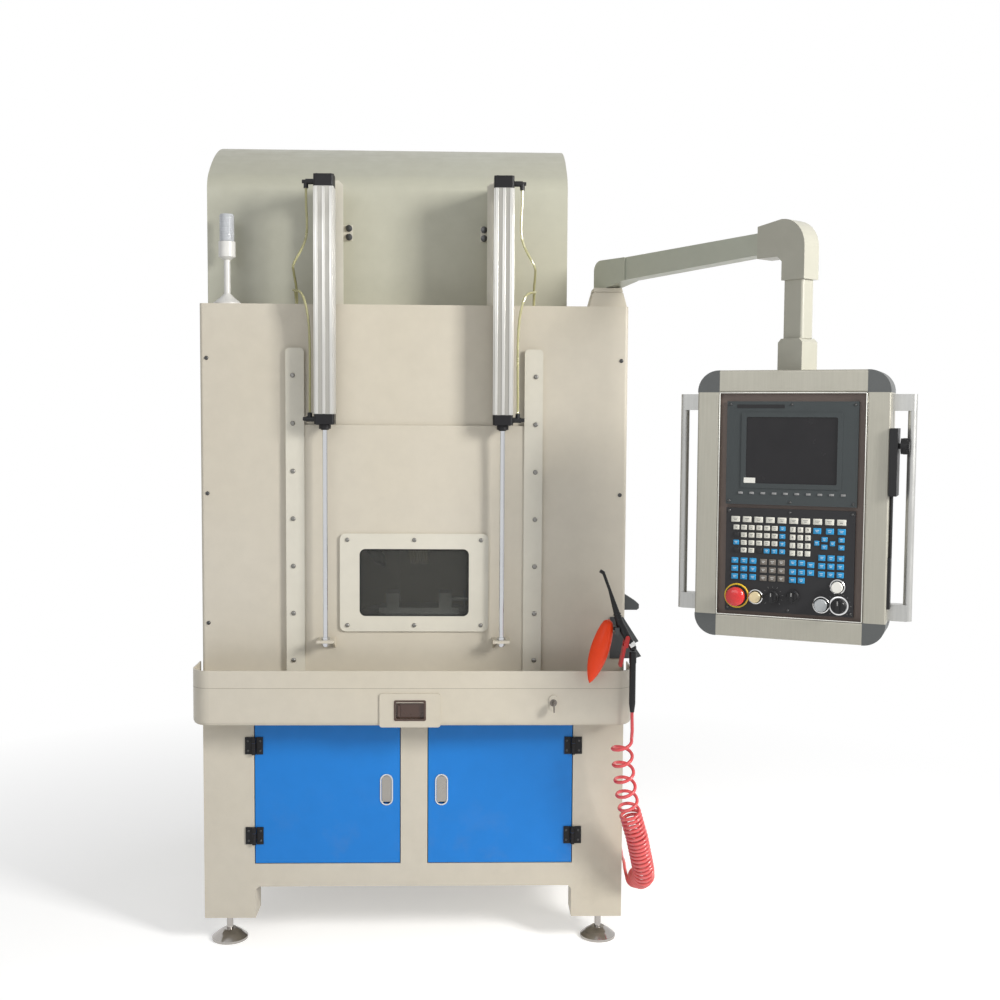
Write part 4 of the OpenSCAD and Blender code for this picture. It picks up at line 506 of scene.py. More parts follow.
class OBJECT_OT_machine_finishes(bpy.types.Operator):
    """Gives the solids of the frame their finishes"""
    bl_idname = "object.machine_finishes"
    bl_label = "Finishes"

    def execute(self, context):
        hues = context.scene.machine_colours
        coat_group()
        metal_group()
        blue = tuple(hues.blue)
        arm_sheen = {"coat_weight": 0.15, "coat_roughness": 0.3}
        finishes = {
            "base_frame base_panels enclosure tray dust_drawer lifting_door arm_pedestal column":
                cream(),
            "guide_rails window_frame cylinder_brackets": pale_coat(),
            "hood": coated("Hood coat", (0.48, 0.48, 0.395), 0.42, (0.45, 0.42, 0.31), 0.45,
                           coat_weight=0.1, coat_roughness=0.4),
            "left_cabinet_door right_cabinet_door": coated(
                "Blue coat", blue, 0.38, tuple(c * 1.12 for c in blue), 0.35, 0.25,
                specular_level=0.35),
            "hinge_plates cylinder_caps spray_arm": black_coat(),
            "speed_fittings handwheel_box handwheel_knob hose_fittings mode_selector feed_knob "
            "speed_knob": black_plastic(),
            "gun_holder": coated("Dark slate coat", (0.055, 0.06, 0.062), 0.32, bump=0.15),
            "left_latch right_latch": metal("Latch plating", (0.36, 0.34, 0.31), 0.3, streaks=0.2),
            "leveling_feet": metal("Polished steel", (0.42, 0.4, 0.38), 0.16, streaks=0.1,
                                   bump=0.0),
            "lock_key": dark_nickel(),
            "lamp_stand": coated("White lamp stand", (0.74, 0.73, 0.7), 0.35, bump=0.05),
            "cylinder_barrels": barrel_metal_painted_shade(),
            "piston_rods": metal("Hard chrome", (0.6, 0.61, 0.63), 0.1, streaks=0.05, bump=0.0),
            "air_tubes": coated("Air tube", (0.56, 0.54, 0.26), 0.22, (0.62, 0.58, 0.36), 0.5,
                                bump=0.0, transmission_weight=0.35, coat_weight=0.3),
            # Two copies of the arm's one paint: a greener copy with painted shade on the swivel
            # and tube, a lit copy on the elbow and drop tube
            "arm_swivel arm_tube": coated("Arm coat painted shade tint", (0.45, 0.465, 0.385), 0.38,
                                          (0.42, 0.43, 0.34), 0.4, **arm_sheen),
            "arm_elbow drop_tube": coated("Arm coat painted lit tint", (0.44, 0.43, 0.36), 0.36,
                                          (0.42, 0.4, 0.32), 0.4, **arm_sheen),
            "panel_frame": metal("Satin profile", (0.39, 0.375, 0.32), 0.42, (0.33, 0.32, 0.27),
                                 (1, 1, 0.03), 0.35, metallic=0.55),
            "panel_corners": coated("Corner plastic", (0.085, 0.09, 0.09), 0.45, bump=0.2),
            "panel_housing": coated("Taupe coat", tuple(hues.taupe), 0.4, mottle=0.3),
            "display_unit": bezel_plastic(),
            "keyboard_unit": coated("Keyboard film", (0.018, 0.018, 0.02), 0.42,
                                    (0.026, 0.024, 0.024), 0.3, bump=0.1, specular_level=0.3),
            "grab_handles": metal("Handle silver", (0.47, 0.47, 0.455), 0.34,
                                  stretch=(1, 1, 0.03), metallic=0.75),
            "gun_trigger": coated("Red lever", (0.55, 0.02, 0.02), 0.3, bump=0.05),
            "bed head_carriage spindle rotary_table work_vise control_plate":
                metal("Machined steel", (0.5, 0.51, 0.52), 0.34),
            "buffing_wheel": coated("Cotton plies", (0.72, 0.66, 0.5), 0.9, (0.5, 0.42, 0.26), 0.8,
                                    grain=900.0, bump=0.8, sheen_weight=0.3),
            "window_glass": coated("Tinted glass", (0.56, 0.56, 0.52), 0.02, mottle=0.0, bump=0.0,
                                   transmission_weight=0.95, ior=1.22),
            "stop_button": coated("Stop red", (0.62, 0.012, 0.012), 0.24, bump=0.0,
                                  coat_weight=0.4),
            "start_button": coated("Cream button", (0.72, 0.6, 0.36), 0.3, bump=0.0),
            "reset_button": white_plastic(),
            "lamp_button": coated("Grey lens button", (0.4, 0.42, 0.43), 0.2, bump=0.0),
        }
        for nodes, material in finishes.items():
            for node in nodes.split():
                node_finish(node, material)
        return {"FINISHED"}


# Route of the coiled hose from the gun's sleeve to the port, repeated from the part's source.
# Each row holds the turns so far and the middle of the coil there.

COIL_ROWS = [
    (0, -19, -22, -28), (1, -17, -21, -66), (2, -13, -18, -105), (3, -8, -13, -142),
    (4, -2, -7, -177), (5, 5, -1, -208), (11, 25, 16, -273), (17, 39, 36, -332),
    (20, 47, 54, -364), (22, 51, 74, -388), (24, 49, 101, -405), (26.5, 38, 132, -413),
]
HOSE_HEAD = [(4, -23.3, 38.7), (4, -23.3, 30.7), (5, -23, -4)]
HOSE_TAIL = [(14, 142, -398), (14, 158, -388), (15, 180, -388), (17, 220, -394), (19, 270, -388),
             (20, 315, -368), (20, 336, -360), (20, 343.7, -360)]
COIL_D, LOOSE_TURNS, LOOSE_SHARE = 54, 6, 0.8


def coil_middle(t):
    """The coil's middle after t turns."""
    for a, b in zip(COIL_ROWS, COIL_ROWS[1:]):
        if t <= b[0]:
            part = max(0.0, (t - a[0]) / (b[0] - a[0]))
            return Vector(a[1:]).lerp(Vector(b[1:]), part)
    return Vector(COIL_ROWS[-1][1:])


def coil_point(t, wire):
    """The hose's middle line after t turns."""
    turns = COIL_ROWS[-1][0]
    along = (coil_middle(min(t + 1, turns)) - coil_middle(max(t - 1, 0))).normalized()
    u = Vector((1, 0, 0))
    u = (u - u.dot(along) * along).normalized()
    v = along.cross(u)
    a, r = 2 * math.pi * t, (COIL_D - wire) / 2
    drop = min(max(LOOSE_TURNS - t, 0), 1) * LOOSE_SHARE * math.sin(a) / (2 * math.pi)
    return coil_middle(t + drop) + r * (math.cos(a) * u + math.sin(a) * v)


class OBJECT_OT_machine_hose(bpy.types.Operator):
    """Makes the coiled air hose"""
    bl_idname = "object.machine_hose"
    bl_label = "Coiled hose"

    def execute(self, context):
        wire = context.scene.machine_sizes.hose_d
        turns, rings = COIL_ROWS[-1][0], 24
        route = [Vector(p) for p in HOSE_HEAD]
        route += [coil_point(i / rings, wire * 1000) for i in range(int(turns * rings) + 1)]
        route += [Vector(p) for p in HOSE_TAIL]
        start = Vector((BODY_SIDE, -100, BASE_TOP))
        route = [spot(*(start + p)) for p in route]
        curve = bpy.data.curves.new("air_hose", "CURVE")
        curve.dimensions = "3D"
        line = curve.splines.new("POLY")
        line.points.add(len(route) - 1)
        for point, place in zip(line.points, route):
            point.co = (*place, 1)
        curve.bevel_depth = wire / 2
        curve.bevel_resolution = 3
        curve.use_fill_caps = True
        hose = bpy.data.objects.new("air_hose", curve)
        context.scene.collection.objects.link(hose)
        r, g, b = context.scene.machine_colours.hose
        curve.materials.append(coated(
            "Red hose", (r, g, b), 0.2, (r, g * 3, b * 2.2), 0.5, bump=0.0,
            subsurface_weight=0.25, coat_weight=0.35, coat_roughness=0.1))
        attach(hose, "machine")
        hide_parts("coiled_hose")
        return {"FINISHED"}


# Fasteners

def button_screw(place, out, head):
    """A button head screw with a hexagon socket, whose head stands out from a surface."""
    r, h, sink = head / 2, head * 0.32, 0.2
    rim = [(0, h * 0.45), (r * 0.42, h * 0.45), (r * 0.42, h), (r * 0.62, h * 0.96),
           (r * 0.86, h * 0.7), (r, h * 0.28), (r, -sink), (0, -sink)]
    return turned(rim, place, out, 16)


def screws(name, places, head, material, body, place=None):
    """Like screws that face the front, as one piece."""
    piece = bmesh.new()
    for p in places:
        put(piece, button_screw(p, FRONT, head))
    make(name, piece, [material], body, place)


def hinge_heights():
    """The middles of a cabinet door's hinges."""
    return [DOORWAY_LOW + (DOORWAY_TOP - DOORWAY_LOW) * share for share in HINGE_SHARES]


class OBJECT_OT_machine_fasteners(bpy.types.Operator):
    """Makes the screws and bolts of the cabinet, rails and window, and the hinges' leaves"""
    bl_idname = "object.machine_fasteners"
    bl_label = "Fasteners"

    def execute(self, context):
        sizes = context.scene.machine_sizes
        head, pitch = sizes.screw_head * 1000, sizes.rail_pitch * 1000
        rail_x, rail_face, highest = 289, ends("guide_rails")[0].y, BODY_TOP - 169
        screws("rail_screws", [(s * rail_x, rail_face, highest - pitch * k)
                               for s in (-1, 1) for k in range(7)],
               head, dull_zinc(), "machine")
        x, inset = WINDOW_HIGH.x - 18, 15
        screws("window_screws", [(s * x, WINDOW_LOW.y, z) for s in (-1, 0, 1)
                                 for z in (WINDOW_LOW.z + inset, WINDOW_HIGH.z - inset)],
               head * 0.9, dull_zinc(), "lifting_door")
        screws("corner_screws", [(s * (BODY_SIDE - 16), 0, BASE_TOP + z) for s in (-1, 1)
                                 for z in (862, 540, 228)],
               head * 0.85, dark_screw(), "machine")
        hinge_head, leaf_front, apart = 6, -3, (-12, 12)
        screws("hinge_screws", [(s * (HINGE_X + 14), leaf_front, z + dz) for s in (-1, 1)
                                for z in hinge_heights() for dz in apart],
               hinge_head, dark_screw(), "machine")
        for side, s in (("left", -1), ("right", 1)):
            piece = bmesh.new()
            for z in hinge_heights():
                put(piece, slab((-8.2, -3.2, -21.2), (8.3, -0.05, 21.2), 0.3), 0,
                    moved(s * (HINGE_X - 13.45), 0, z))
                put(piece, slab((-5, -3.15, -6.8), (5, -0.9, 6.8)), 0,
                    moved(s * (HINGE_X - 5.5), 0, z))
                put(piece, bar((s * HINGE_X, -6, z - 6.95), (s * HINGE_X, -6, z + 6.95), 10.3))
                for dz in apart:
                    put(piece, button_screw((s * (HINGE_X - 15.5), -3.2, z + dz), FRONT,
                                            hinge_head), 1)
            make(side + "_hinge_leaves", piece, [black_coat(), dark_screw()],
                 side + "_cabinet_door")
        piece = bmesh.new()
        for x in (-165, 165):
            for z in (BODY_TOP + 171.5, BODY_TOP + 192.5):
                put(piece, bar((x, 105, z), (x, 92, z), 13, sides=6, round_by=1))
                put(piece, bar((x, 103, z), (x, 96, z), 16, round_by=0.5))
        make("bracket_bolts", piece, [dark_screw()], "machine")
        return {"FINISHED"}


# Tray, window, latches, lock and drawer

class OBJECT_OT_machine_fold_shade(bpy.types.Operator):
    """Makes a thin strip of painted shade along the tray's fold line, and the window's gasket"""
    bl_idname = "object.machine_folds"
    bl_label = "Painted fold shade and gasket"

    def execute(self, context):
        half, front, r = TRAY_HIGH.x + 0.1, TRAY_LOW.y + 2.9, 45
        bends, fold_z, shade_strip_h, shade_strip_t = 14, TRAY_HIGH.z - 42, 1.1, 0.25
        line = []
        for s in (-1, 1):
            turn = [(s * (half - r + r * math.sin(a)), front + r - r * math.cos(a))
                    for a in (math.pi / 2 * k / bends for k in range(bends))]
            line += turn[::-1] if s < 0 else turn
        part = bmesh.new()
        corners = [part.verts.new((x, y, fold_z)) for x, y in line]
        edges = [part.edges.new(pair) for pair in zip(corners, corners[1:])]
        push(part, bmesh.ops.extrude_edge_only(part, edges=edges), (0, 0, shade_strip_h))
        bmesh.ops.recalc_face_normals(part, faces=part.faces[:])
        bmesh.ops.solidify(part, geom=part.faces[:], thickness=shade_strip_t)
        piece = bmesh.new()
        put(piece, part)
        # The strip's dark colour is painted shade, standing for the shadow in the tray's crease
        shade = coated("Fold shade", (0.34, 0.3, 0.24), 0.6, bump=0.0)
        make("tray_fold_painted_shade", piece, [shade], "machine")
        piece = bmesh.new()
        put(piece, ring_of((262.4, 162.4, 14), (257, 157, 11.5), 4.8,
                           (0, WINDOW_LOW.y + 0.9, WINDOW_Z), 10))
        make("window_gasket", piece, [black_plastic()], "lifting_door")
        return {"FINISHED"}


class OBJECT_OT_machine_door_fittings(bpy.types.Operator):
    """Makes the latches' plated frames, the lock's ring and the drawer's pull"""
    bl_idname = "object.machine_door_fittings"
    bl_label = "Door fittings"

    def execute(self, context):
        latch_x, latch_z = 67, DOORWAY_LOW + (DOORWAY_TOP - DOORWAY_LOW) * 0.52
        for side, s in (("left", -1), ("right", 1)):
            piece = bmesh.new()
            rim = ring_of((31.6, 77.6, 15.7), (25, 71, 12.4), -2, (s * latch_x, 0, latch_z), 8)
            soften(rim, [e for e in rim.edges if e.calc_face_angle(0) > 1.2], 0.8)
            put(piece, rim)
            make(side + "_latch_frame", piece, [plated()], side + "_cabinet_door")
        piece = bmesh.new()
        key_low, key_high = ends("lock_key")
        put(piece, turned([(3.2, 1.6), (7.6, 1.6), (8.4, 1.0), (8.6, 0), (3.2, 0), (3.2, 1.6)],
                          ((key_low.x + key_high.x) / 2, TRAY_LOW.y, BASE_TOP + 56), FRONT))
        make("lock_ring", piece, [dark_nickel()], "machine")
        piece = bmesh.new()
        low, high = ends("dust_drawer")
        x, face, z = (low.x + high.x) / 2, low.y, (low.z + high.z) / 2
        floor = face + 7.2
        put(piece, ring_of((75, 49, 4), (66, 40, 3), -1.2, (x, face, z)))
        put(piece, plate((67, 41, 3), 0.6, (x, floor, z)))
        put(piece, slab((x - 30, face + 2.2, z - 17), (x - 23, floor, z + 12), 2))
        pull = coated("Brown pull", (0.05, 0.024, 0.016), 0.3, (0.075, 0.035, 0.022), 0.4,
                      bump=0.08, coat_weight=0.3)
        make("drawer_pull", piece, [pull], "dust_drawer")
        return {"FINISHED"}


# Operator panel

KEY_ROWS = [
    (18, 12, [(-111.9 + 24.1 * i, -31, 0) for i in range(10)]),
    (12, 10, [(-110 + 16 * i, -48, 1 if i == 6 else 0) for i in range(7)]),
    (12, 10, [(-110 + 16 * i, -64, (3, 0, 0, 0, 0, 0, 1)[i]) for i in range(7)]),
    (12, 10, [(-110 + 16 * i, -80, (1, 0, 0, 0, 0, 0, 1)[i]) for i in range(7)]),
    (12, 10, [(-110 + 16 * i, -96, (3, 0, 0, 3, 1, 1, 1)[i]) for i in range(7)]),
    (11, 11, [(x, z, 0) for z in (-49, -65, -82, -98) for x in (7, 22.5, 38)]),
    (16, 12, [(x, -50, 1) for x in (56.5, 82, 105.5)]),
    (12, 10, [(x, z, 1) for z in (-67, -82.5) for x in (71.5, 105.5)]),
    (10, 10, [(x, -75, 1) for x in (56, 87.5)]),
    (14, 12, [(x, z, 1) for z in (-118, -135, -152) for x in (-112, -93, -74)]),
    (14, 12, [(x, z, 2) for z in (-119, -136, -153) for x in (-52, -33.5, -15)]),
    (14, 12, [(x, z, 1) for z in (-118, -137, -154) for x in (8.5, 26.5)]),
    (14, 12, [(45, z, 1) for z in (-121, -137)]),
    (14, 12, [(x, z, 1) for z in (-105, -122, -139) for x in (67, 85.5, 104.5)]),
]
DIGITS = "789456123-0."

# Middles of the turning controls across and up the panel, and the face that they share
MODE_SELECTOR, FEED_KNOB, SPEED_KNOB = (10, -188), (-32, -191), (103, -202)
COLLAR_T, KNOB_OUT = 3, 16
KNOB_FACE = UNIT_FACE - COLLAR_T - KNOB_OUT * 4 / 3


def words(text, tall, x, z, front):
    """A generic mark as flat raised mesh, facing out of the panel."""
    curve = bpy.data.curves.new("mark", "FONT")
    curve.body = text
    curve.size = tall
    curve.align_x, curve.align_y = "CENTER", "CENTER"
    curve.extrude = 0.05
    holder = bpy.data.objects.new("mark", curve)
    bpy.context.scene.collection.objects.link(holder)
    bpy.context.view_layer.update()
    flat = holder.to_mesh()
    part = bmesh.new()
    part.from_mesh(flat)
    holder.to_mesh_clear()
    bpy.data.objects.remove(holder)
    bpy.data.curves.remove(curve)
    part.transform(moved(x, front, z) @ Matrix.Rotation(math.pi / 2, 4, "X"))
    return part


class OBJECT_OT_machine_keys(bpy.types.Operator):
    """Makes the keyboard's keys with their marks"""
    bl_idname = "object.machine_keys"
    bl_label = "Keys"

    def execute(self, context):
        blue = tuple(context.scene.machine_colours.key_blue)
        colours = [coated("Pale keys", (0.66, 0.65, 0.58), 0.4, (0.58, 0.56, 0.5), 0.5, bump=0.05),
                   coated("Blue keys", blue, 0.38, tuple(c * 0.8 for c in blue), 0.5, bump=0.05),
                   coated("Brown grey keys", (0.16, 0.14, 0.12), 0.42, bump=0.05),
                   black_plastic(),
                   coated("Grey soft keys", (0.2, 0.2, 0.2), 0.5, (0.3, 0.3, 0.3), 0.9, bump=0.0)]
        inks = [coated("Key marks", (0.05, 0.05, 0.055), 0.5, bump=0.0),
                coated("Pale marks", (0.75, 0.76, 0.74), 0.5, bump=0.0)]
        top = UNIT_FACE - 2.6
        piece, marks = bmesh.new(), bmesh.new()
        digits = iter(DIGITS)
        for w, h, keys in KEY_ROWS:
            for x, z, colour in keys:
                key = slab((x - w / 2, top, z - h / 2), (x + w / 2, UNIT_FACE, z + h / 2), 0.9)
                for v in key.verts:
                    if v.co.y < top + 0.5:
                        v.co.x = x + (v.co.x - x) * 0.93
                        v.co.z = z + (v.co.z - z) * 0.92
                put(piece, key, colour)
                ink = 0 if colour == 0 else 1
                if (w, h) == (11, 11):
                    put(marks, words(next(digits), 7.5, x, z, top - 0.03), ink)
                elif colour < 3:
                    for dz, share in ((1.6, 0.25), (-1.4, 0.16)):
                        put(marks, slab((x - w * share, top - 0.08, z + dz - 0.45),
                                        (x + w * share, top + 0.1, z + dz + 0.45)), ink)
        for i in range(10):
            x = -103 + 23.3 * i
            put(piece, slab((x - 4.8, top + 1, 22.3), (x + 4.8, UNIT_FACE, 26.9), 0.7), 4)
        make("membrane_keys", piece, colours, "panel", on_panel(),
             stands_for=("keypad_keys",))
        make("key_marks", marks, inks, "panel", on_panel())
        return {"FINISHED"}


class OBJECT_OT_machine_display(bpy.types.Operator):
    """Makes the display's front, both units' screws, the panel's back cover and its lip"""
    bl_idname = "object.machine_display"
    bl_label = "Display"

    def execute(self, context):
        dark = coated("Screen glass", (0.012, 0.0115, 0.013), 0.22, (0.018, 0.017, 0.019), 0.8,
                      bump=0.0, specular_level=0.3)
        piece = bmesh.new()
        screen_z = 114
        put(piece, ring_of((206, 158, 5), (186, 138, 3), -1.4, (0, UNIT_FACE, screen_z)))
        put(piece, plate((187, 139, 3), 0.4, (0, UNIT_FACE + 1, screen_z)), 1)
        put(piece, plate((98, 7.5, 1), -0.5, (-64, UNIT_FACE, screen_z + 91)), 2)
        put(piece, plate((24, 11, 0.6), -0.3, (-84.5, UNIT_FACE - 1.2, screen_z - 63)), 3)
        make("display_front", piece, [bezel_plastic(), dark, black_plastic(), white_plastic()],
             "panel", on_panel())
        places, inset = [], 6.5
        for node, x in (("display_unit", 127), ("keyboard_unit", 126)):
            low, high = (corner.z - PANEL_AXIS[2] for corner in ends(node))
            places += [(s * x, UNIT_FACE, z) for s in (-1, 0, 1)
                       for z in (low + inset, high - inset)]
        screws("unit_screws", places,
               context.scene.machine_sizes.small_screw * 1000, dark_screw(), "panel",
               on_panel())
        to_panel = on_panel().inverted()
        back = max((to_panel @ v.co).y for v in NODES["panel_housing"].data.vertices)
        cover_t = 1.2
        piece = bmesh.new()
        put(piece, plate((276, 440, 8), cover_t, (0, back, 0)))
        for x in (-128, 0, 128):
            for z in (-210, -70, 70, 210):
                if x or abs(z) > 100:
                    put(piece, button_screw((x, back + cover_t, z), BACK, 8), 1)
        for z in range(100, 155, 9):
            put(piece, slab((-45, back + cover_t - 0.1, z), (45, back + 2.6, z + 3.5), 1))
        make("panel_back_cover", piece, [bpy.data.materials["Taupe coat"], dark_screw()], "panel",
             on_panel())
        piece = bmesh.new()
        x, z, near, far = 149, 233, PANEL_FRONT - 0.5, PANEL_FRONT + 1
        for s in (-1, 1):
            put(piece, slab((s * x - 1, near, -z), (s * x + 1, far, z), 0.4))
            put(piece, slab((-x, near, s * z - 1), (x, far, s * z + 1), 0.4))
        make("profile_lip", piece, [metal("Polished lip", (0.7, 0.69, 0.64), 0.25)], "panel",
             on_panel())
        return {"FINISHED"}


class OBJECT_OT_machine_controls(bpy.types.Operator):
    """Makes the rings and marks round the controls and the ridges of the handwheel"""
    bl_idname = "object.machine_controls"
    bl_label = "Controls"

    def execute(self, context):
        yellow = coated("Yellow ring", (0.78, 0.5, 0.02), 0.35, bump=0.0)
        ring_steel = metal("Button ring", (0.7, 0.7, 0.7), 0.22)
        rings = bmesh.new()
        put(rings, turned([(21, 0), (26, 0), (26, 1.2), (24.5, 2.2), (21, 2.2), (21, 0)],
                          (-107, UNIT_FACE, -193), FRONT, 40))
        for x, z, r in ((-67, -193, 15.4), (100, -163, 15.4), (68, -202, 17.2)):
            put(rings, turned([(r - 3, 2.9), (r - 3, 4.2), (r - 1.6, 4.6), (r, 3.4), (r, 0),
                               (r - 1, 0), (r - 3, 2.9)], (x, UNIT_FACE, z), FRONT, 40), 1)
        put(rings, turned([(16.4, 0), (19.5, 0), (19.5, 1.0), (18.6, 1.5), (16.4, 1.5), (16.4, 0)],
                          (SPEED_KNOB[0], UNIT_FACE, SPEED_KNOB[1]), FRONT, 40), 1)
        make("control_rings", rings, [yellow, ring_steel], "panel", on_panel())
        pointer = coated("Pointer marks", (0.34, 0.34, 0.33), 0.4, bump=0.0)
        for name, body, (x, z), d in (("mode_mark", "mode_selector", MODE_SELECTOR, 26),
                                      ("feed_mark", "feed_knob", FEED_KNOB, 26),
                                      ("speed_mark", "speed_knob", SPEED_KNOB, 32)):
            piece = bmesh.new()
            put(piece, slab((x - 0.9, KNOB_FACE - 0.3, z + d * 0.1),
                            (x + 0.9, KNOB_FACE + 0.1, z + d * 0.38), 0.1))
            make(name, piece, [pointer], body, on_panel())
        dial = bmesh.new()
        first, sweep = 225, -270
        for (x, z), r, count in ((SPEED_KNOB, 22.5, 13), (FEED_KNOB, 19, 11)):
            for k in range(count):
                a = math.radians(first + sweep * k / (count - 1))
                put(dial, slab((r, -0.12, -0.45), (r + (2 if k % 2 else 3.4), 0.1, 0.45)), 0,
                    moved(x, UNIT_FACE, z) @ Matrix.Rotation(-a, 4, "Y"))
        dim = coated("Dial marks", (0.16, 0.16, 0.155), 0.5, bump=0.0)
        make("dial_marks", dial, [dim], "panel", on_panel())
        knurl = bmesh.new()
        y, z, ridges = -35, 126, 28
        for k in range(ridges):
            put(knurl, slab((219.5, -1.0, 15.6), (230.5, 1.0, 16.5), 0.3, 1), 0,
                moved(0, y, z) @ Matrix.Rotation(2 * math.pi * k / ridges, 4, "X"))
        put(knurl, bar((231, y, z), (231.6, y, z), 22))
        make("handwheel_ridges", knurl, [black_plastic()], "handwheel_knob",
             on_panel())
        return {"FINISHED"}


# Air gun

class OBJECT_OT_machine_gun(bpy.types.Operator):
    """Makes the air gun's moulded grip, its black body and its nozzle"""
    bl_idname = "object.machine_gun"
    bl_label = "Air gun"

    def execute(self, context):
        r, g, b = context.scene.machine_colours.grip
        orange = coated("Orange grip", (r, g, b), 0.4, (r * 0.75, g * 0.3, b), 0.9, bump=0.1,
                        specular_level=0.35)
        piece = bmesh.new()
        foot, head = Vector((-97, 0, -24)), Vector((-52, 0, 128))
        length, steps, tip_gap = (head - foot).length, 22, 0.6
        grip = bmesh.new()
        rings = []
        for t in (i / steps for i in range(1, steps)):
            bulge = 22.8 * math.sin(math.pi * t ** 1.1) ** (0.64 - 0.26 * t)
            made = bmesh.ops.create_circle(grip, cap_ends=False, segments=28, radius=bulge,
                                           matrix=moved(0, 0, length * t))["verts"]
            for v in made:
                a = math.atan2(v.co.y, v.co.x)
                v.co.x *= 1 - 0.05 * math.cos(2 * a)
                v.co.y *= 0.93 + 0.05 * math.cos(4 * a)
            rings.append(made)
        for a, b in zip(rings, rings[1:]):
            edges = [e for line in (a, b) for v in line for e in v.link_edges
                     if e.other_vert(v) in line]
            bmesh.ops.bridge_loops(grip, edges=list(dict.fromkeys(edges)))
        for line, z in ((rings[0], tip_gap), (rings[-1], length - tip_gap)):
            tip = grip.verts.new((0, 0, z))
            for e in [e for e in grip.edges if e.is_boundary and e.verts[0] in line]:
                grip.faces.new((e.verts[0], e.verts[1], tip))
        put(piece, grip, 1, moved(*foot) @ facing(head - foot))
        barrel = [Vector((x, 0, z)) for x, z in ((-74, 240), (-67, 236), (-52, 196), (-40, 158),
                                                 (-27, 116), (4, 60))]
        widths = [7, 7, 7.2, 12.4, 19, 16]
        for a, b, w0, w1 in zip(barrel, barrel[1:], widths, widths[1:]):
            put(piece, bar(a, b, w0, w1, 28))
        for p, w in list(zip(barrel, widths))[1:]:
            ball = bmesh.new()
            bmesh.ops.create_uvsphere(ball, u_segments=24, v_segments=12, radius=w / 2 + 0.3,
                                      matrix=moved(*p))
            put(piece, ball)
        put(piece, turned([(0, 0), (4.2, 0), (4.2, 9), (3.4, 11), (0, 11)],
                          barrel[0] + Vector((-1, 0, 0.5)), barrel[1] - barrel[0], 20))
        put(piece, bar((-20, 0, 103), (-52, 0, 107), 8, round_by=1))
        put(piece, bar((-10, -10.5, 85), (-10, 10.5, 85), 10, round_by=0.6))
        way = (barrel[4] - barrel[3]).normalized()
        for along in (20, 26, 32):
            put(piece, turned([(5, -1.6), (8.6, -1.6), (9.2, 0), (8.6, 1.6), (5, 1.6)],
                              barrel[3] + way * along, way, 28))
        put(piece, bar(barrel[5] + Vector((-6, 0, 12)), barrel[5] + Vector((-1, 0, 3)), 19,
                       sides=6, round_by=0.8), 2)
        make("blow_gun", piece, [black_plastic(), orange, plated()], "machine",
             on_gun(), stands_for=("air_gun",), sharp=40)
        return {"FINISHED"}


# Lamp, cylinders and the machine's back

class OBJECT_OT_machine_lamp(bpy.types.Operator):
    """Makes the signal lamp's ribbed lens with its lid"""
    bl_idname = "object.machine_lamp"
    bl_label = "Signal lamp"

    def execute(self, context):
        x, y, foot, ribs = -452, 48, ends("lamp_lens")[0].z, 14
        profile = [(15.2, 0.2)]
        for z in (1 + 4 * k for k in range(ribs)):
            profile += [(16.9, z), (17.4, z + 1), (17.4, z + 2.8), (16.9, z + 3.8)]
        profile += [(17.2, 58), (17.4, 61.5), (15.4, 65.2), (12, 65.9), (0, 65.9), (0, 63),
                    (14.2, 63), (15.2, 60), (15.2, 0.2)]
        piece = bmesh.new()
        put(piece, turned(profile, (x, y, foot), UP, 48))
        put(piece, bar((x, y, foot + 1), (x, y, foot + 52), 12), 1)
        lens = coated("Smoky lens", (0.72, 0.74, 0.77), 0.12, mottle=0.2, bump=0.0,
                      transmission_weight=0.35, ior=1.45)
        make("lamp_dome", piece, [lens, white_plastic()], "machine",
             stands_for=("lamp_lens",))
        return {"FINISHED"}


class OBJECT_OT_machine_cylinders(bpy.types.Operator):
    """Makes the cylinders' cap screws, rod wipers, ribs in a lighter finish of painted highlight,
    and gaskets
    """
    bl_idname = "object.machine_cylinders"
    bl_label = "Cylinders"

    def execute(self, context):
        low, high = ends("cylinder_barrels")
        boss_low, cap_top = (corner.z for corner in ends("cylinder_caps"))
        boss_h, bolt, groove = 11, 15.5, 17
        half_rib = context.scene.machine_sizes.barrel_rib * 500
        right, y = high.x - 23, (low.y + high.y) / 2
        head = [(0, 0.2), (1.8, 0.2), (1.8, 1.2), (3.6, 1.2), (3.6, -0.5), (0, -0.5)]
        wiper = [(6.3, 0), (9.5, 0), (9.5, 1.2), (8, 2.6), (6.3, 2.2), (6.3, 0)]
        piece = bmesh.new()
        for x in (-right, right):
            for dx in (-bolt, bolt):
                for dy in (-bolt, bolt):
                    for z, way in ((cap_top, UP), (boss_low + boss_h, DOWN)):
                        put(piece, turned(head, (x + dx, y + dy, z), way, 12))
            put(piece, turned(wiper, (x, y, boss_low), DOWN), 1)
            # Ribs in the lighter anodised copy, whose colour is a painted highlight
            for d in (-groove, 0, groove):
                put(piece, slab((x + d - half_rib, y - 25, low.z + 1),
                                (x + d + half_rib, y - 22.6, high.z - 1), 1.1), 2)
                put(piece, slab((x - 23.9, y + d - half_rib, low.z + 1),
                                (x + 23.9, y + d + half_rib, high.z - 1), 0.8), 2)
            for z in (low.z, high.z):
                put(piece, ring_of((47.6, 47.6, 6), (46.1, 46.1, 5.4), 1.2, (0, -0.6, 0)), 1,
                    moved(x, y, z) @ Matrix.Rotation(math.pi / 2, 4, "X"))
        make("cylinder_screws", piece, [dark_screw(), black_plastic(), rib_metal_painted_highlight()], "machine")
        return {"FINISHED"}


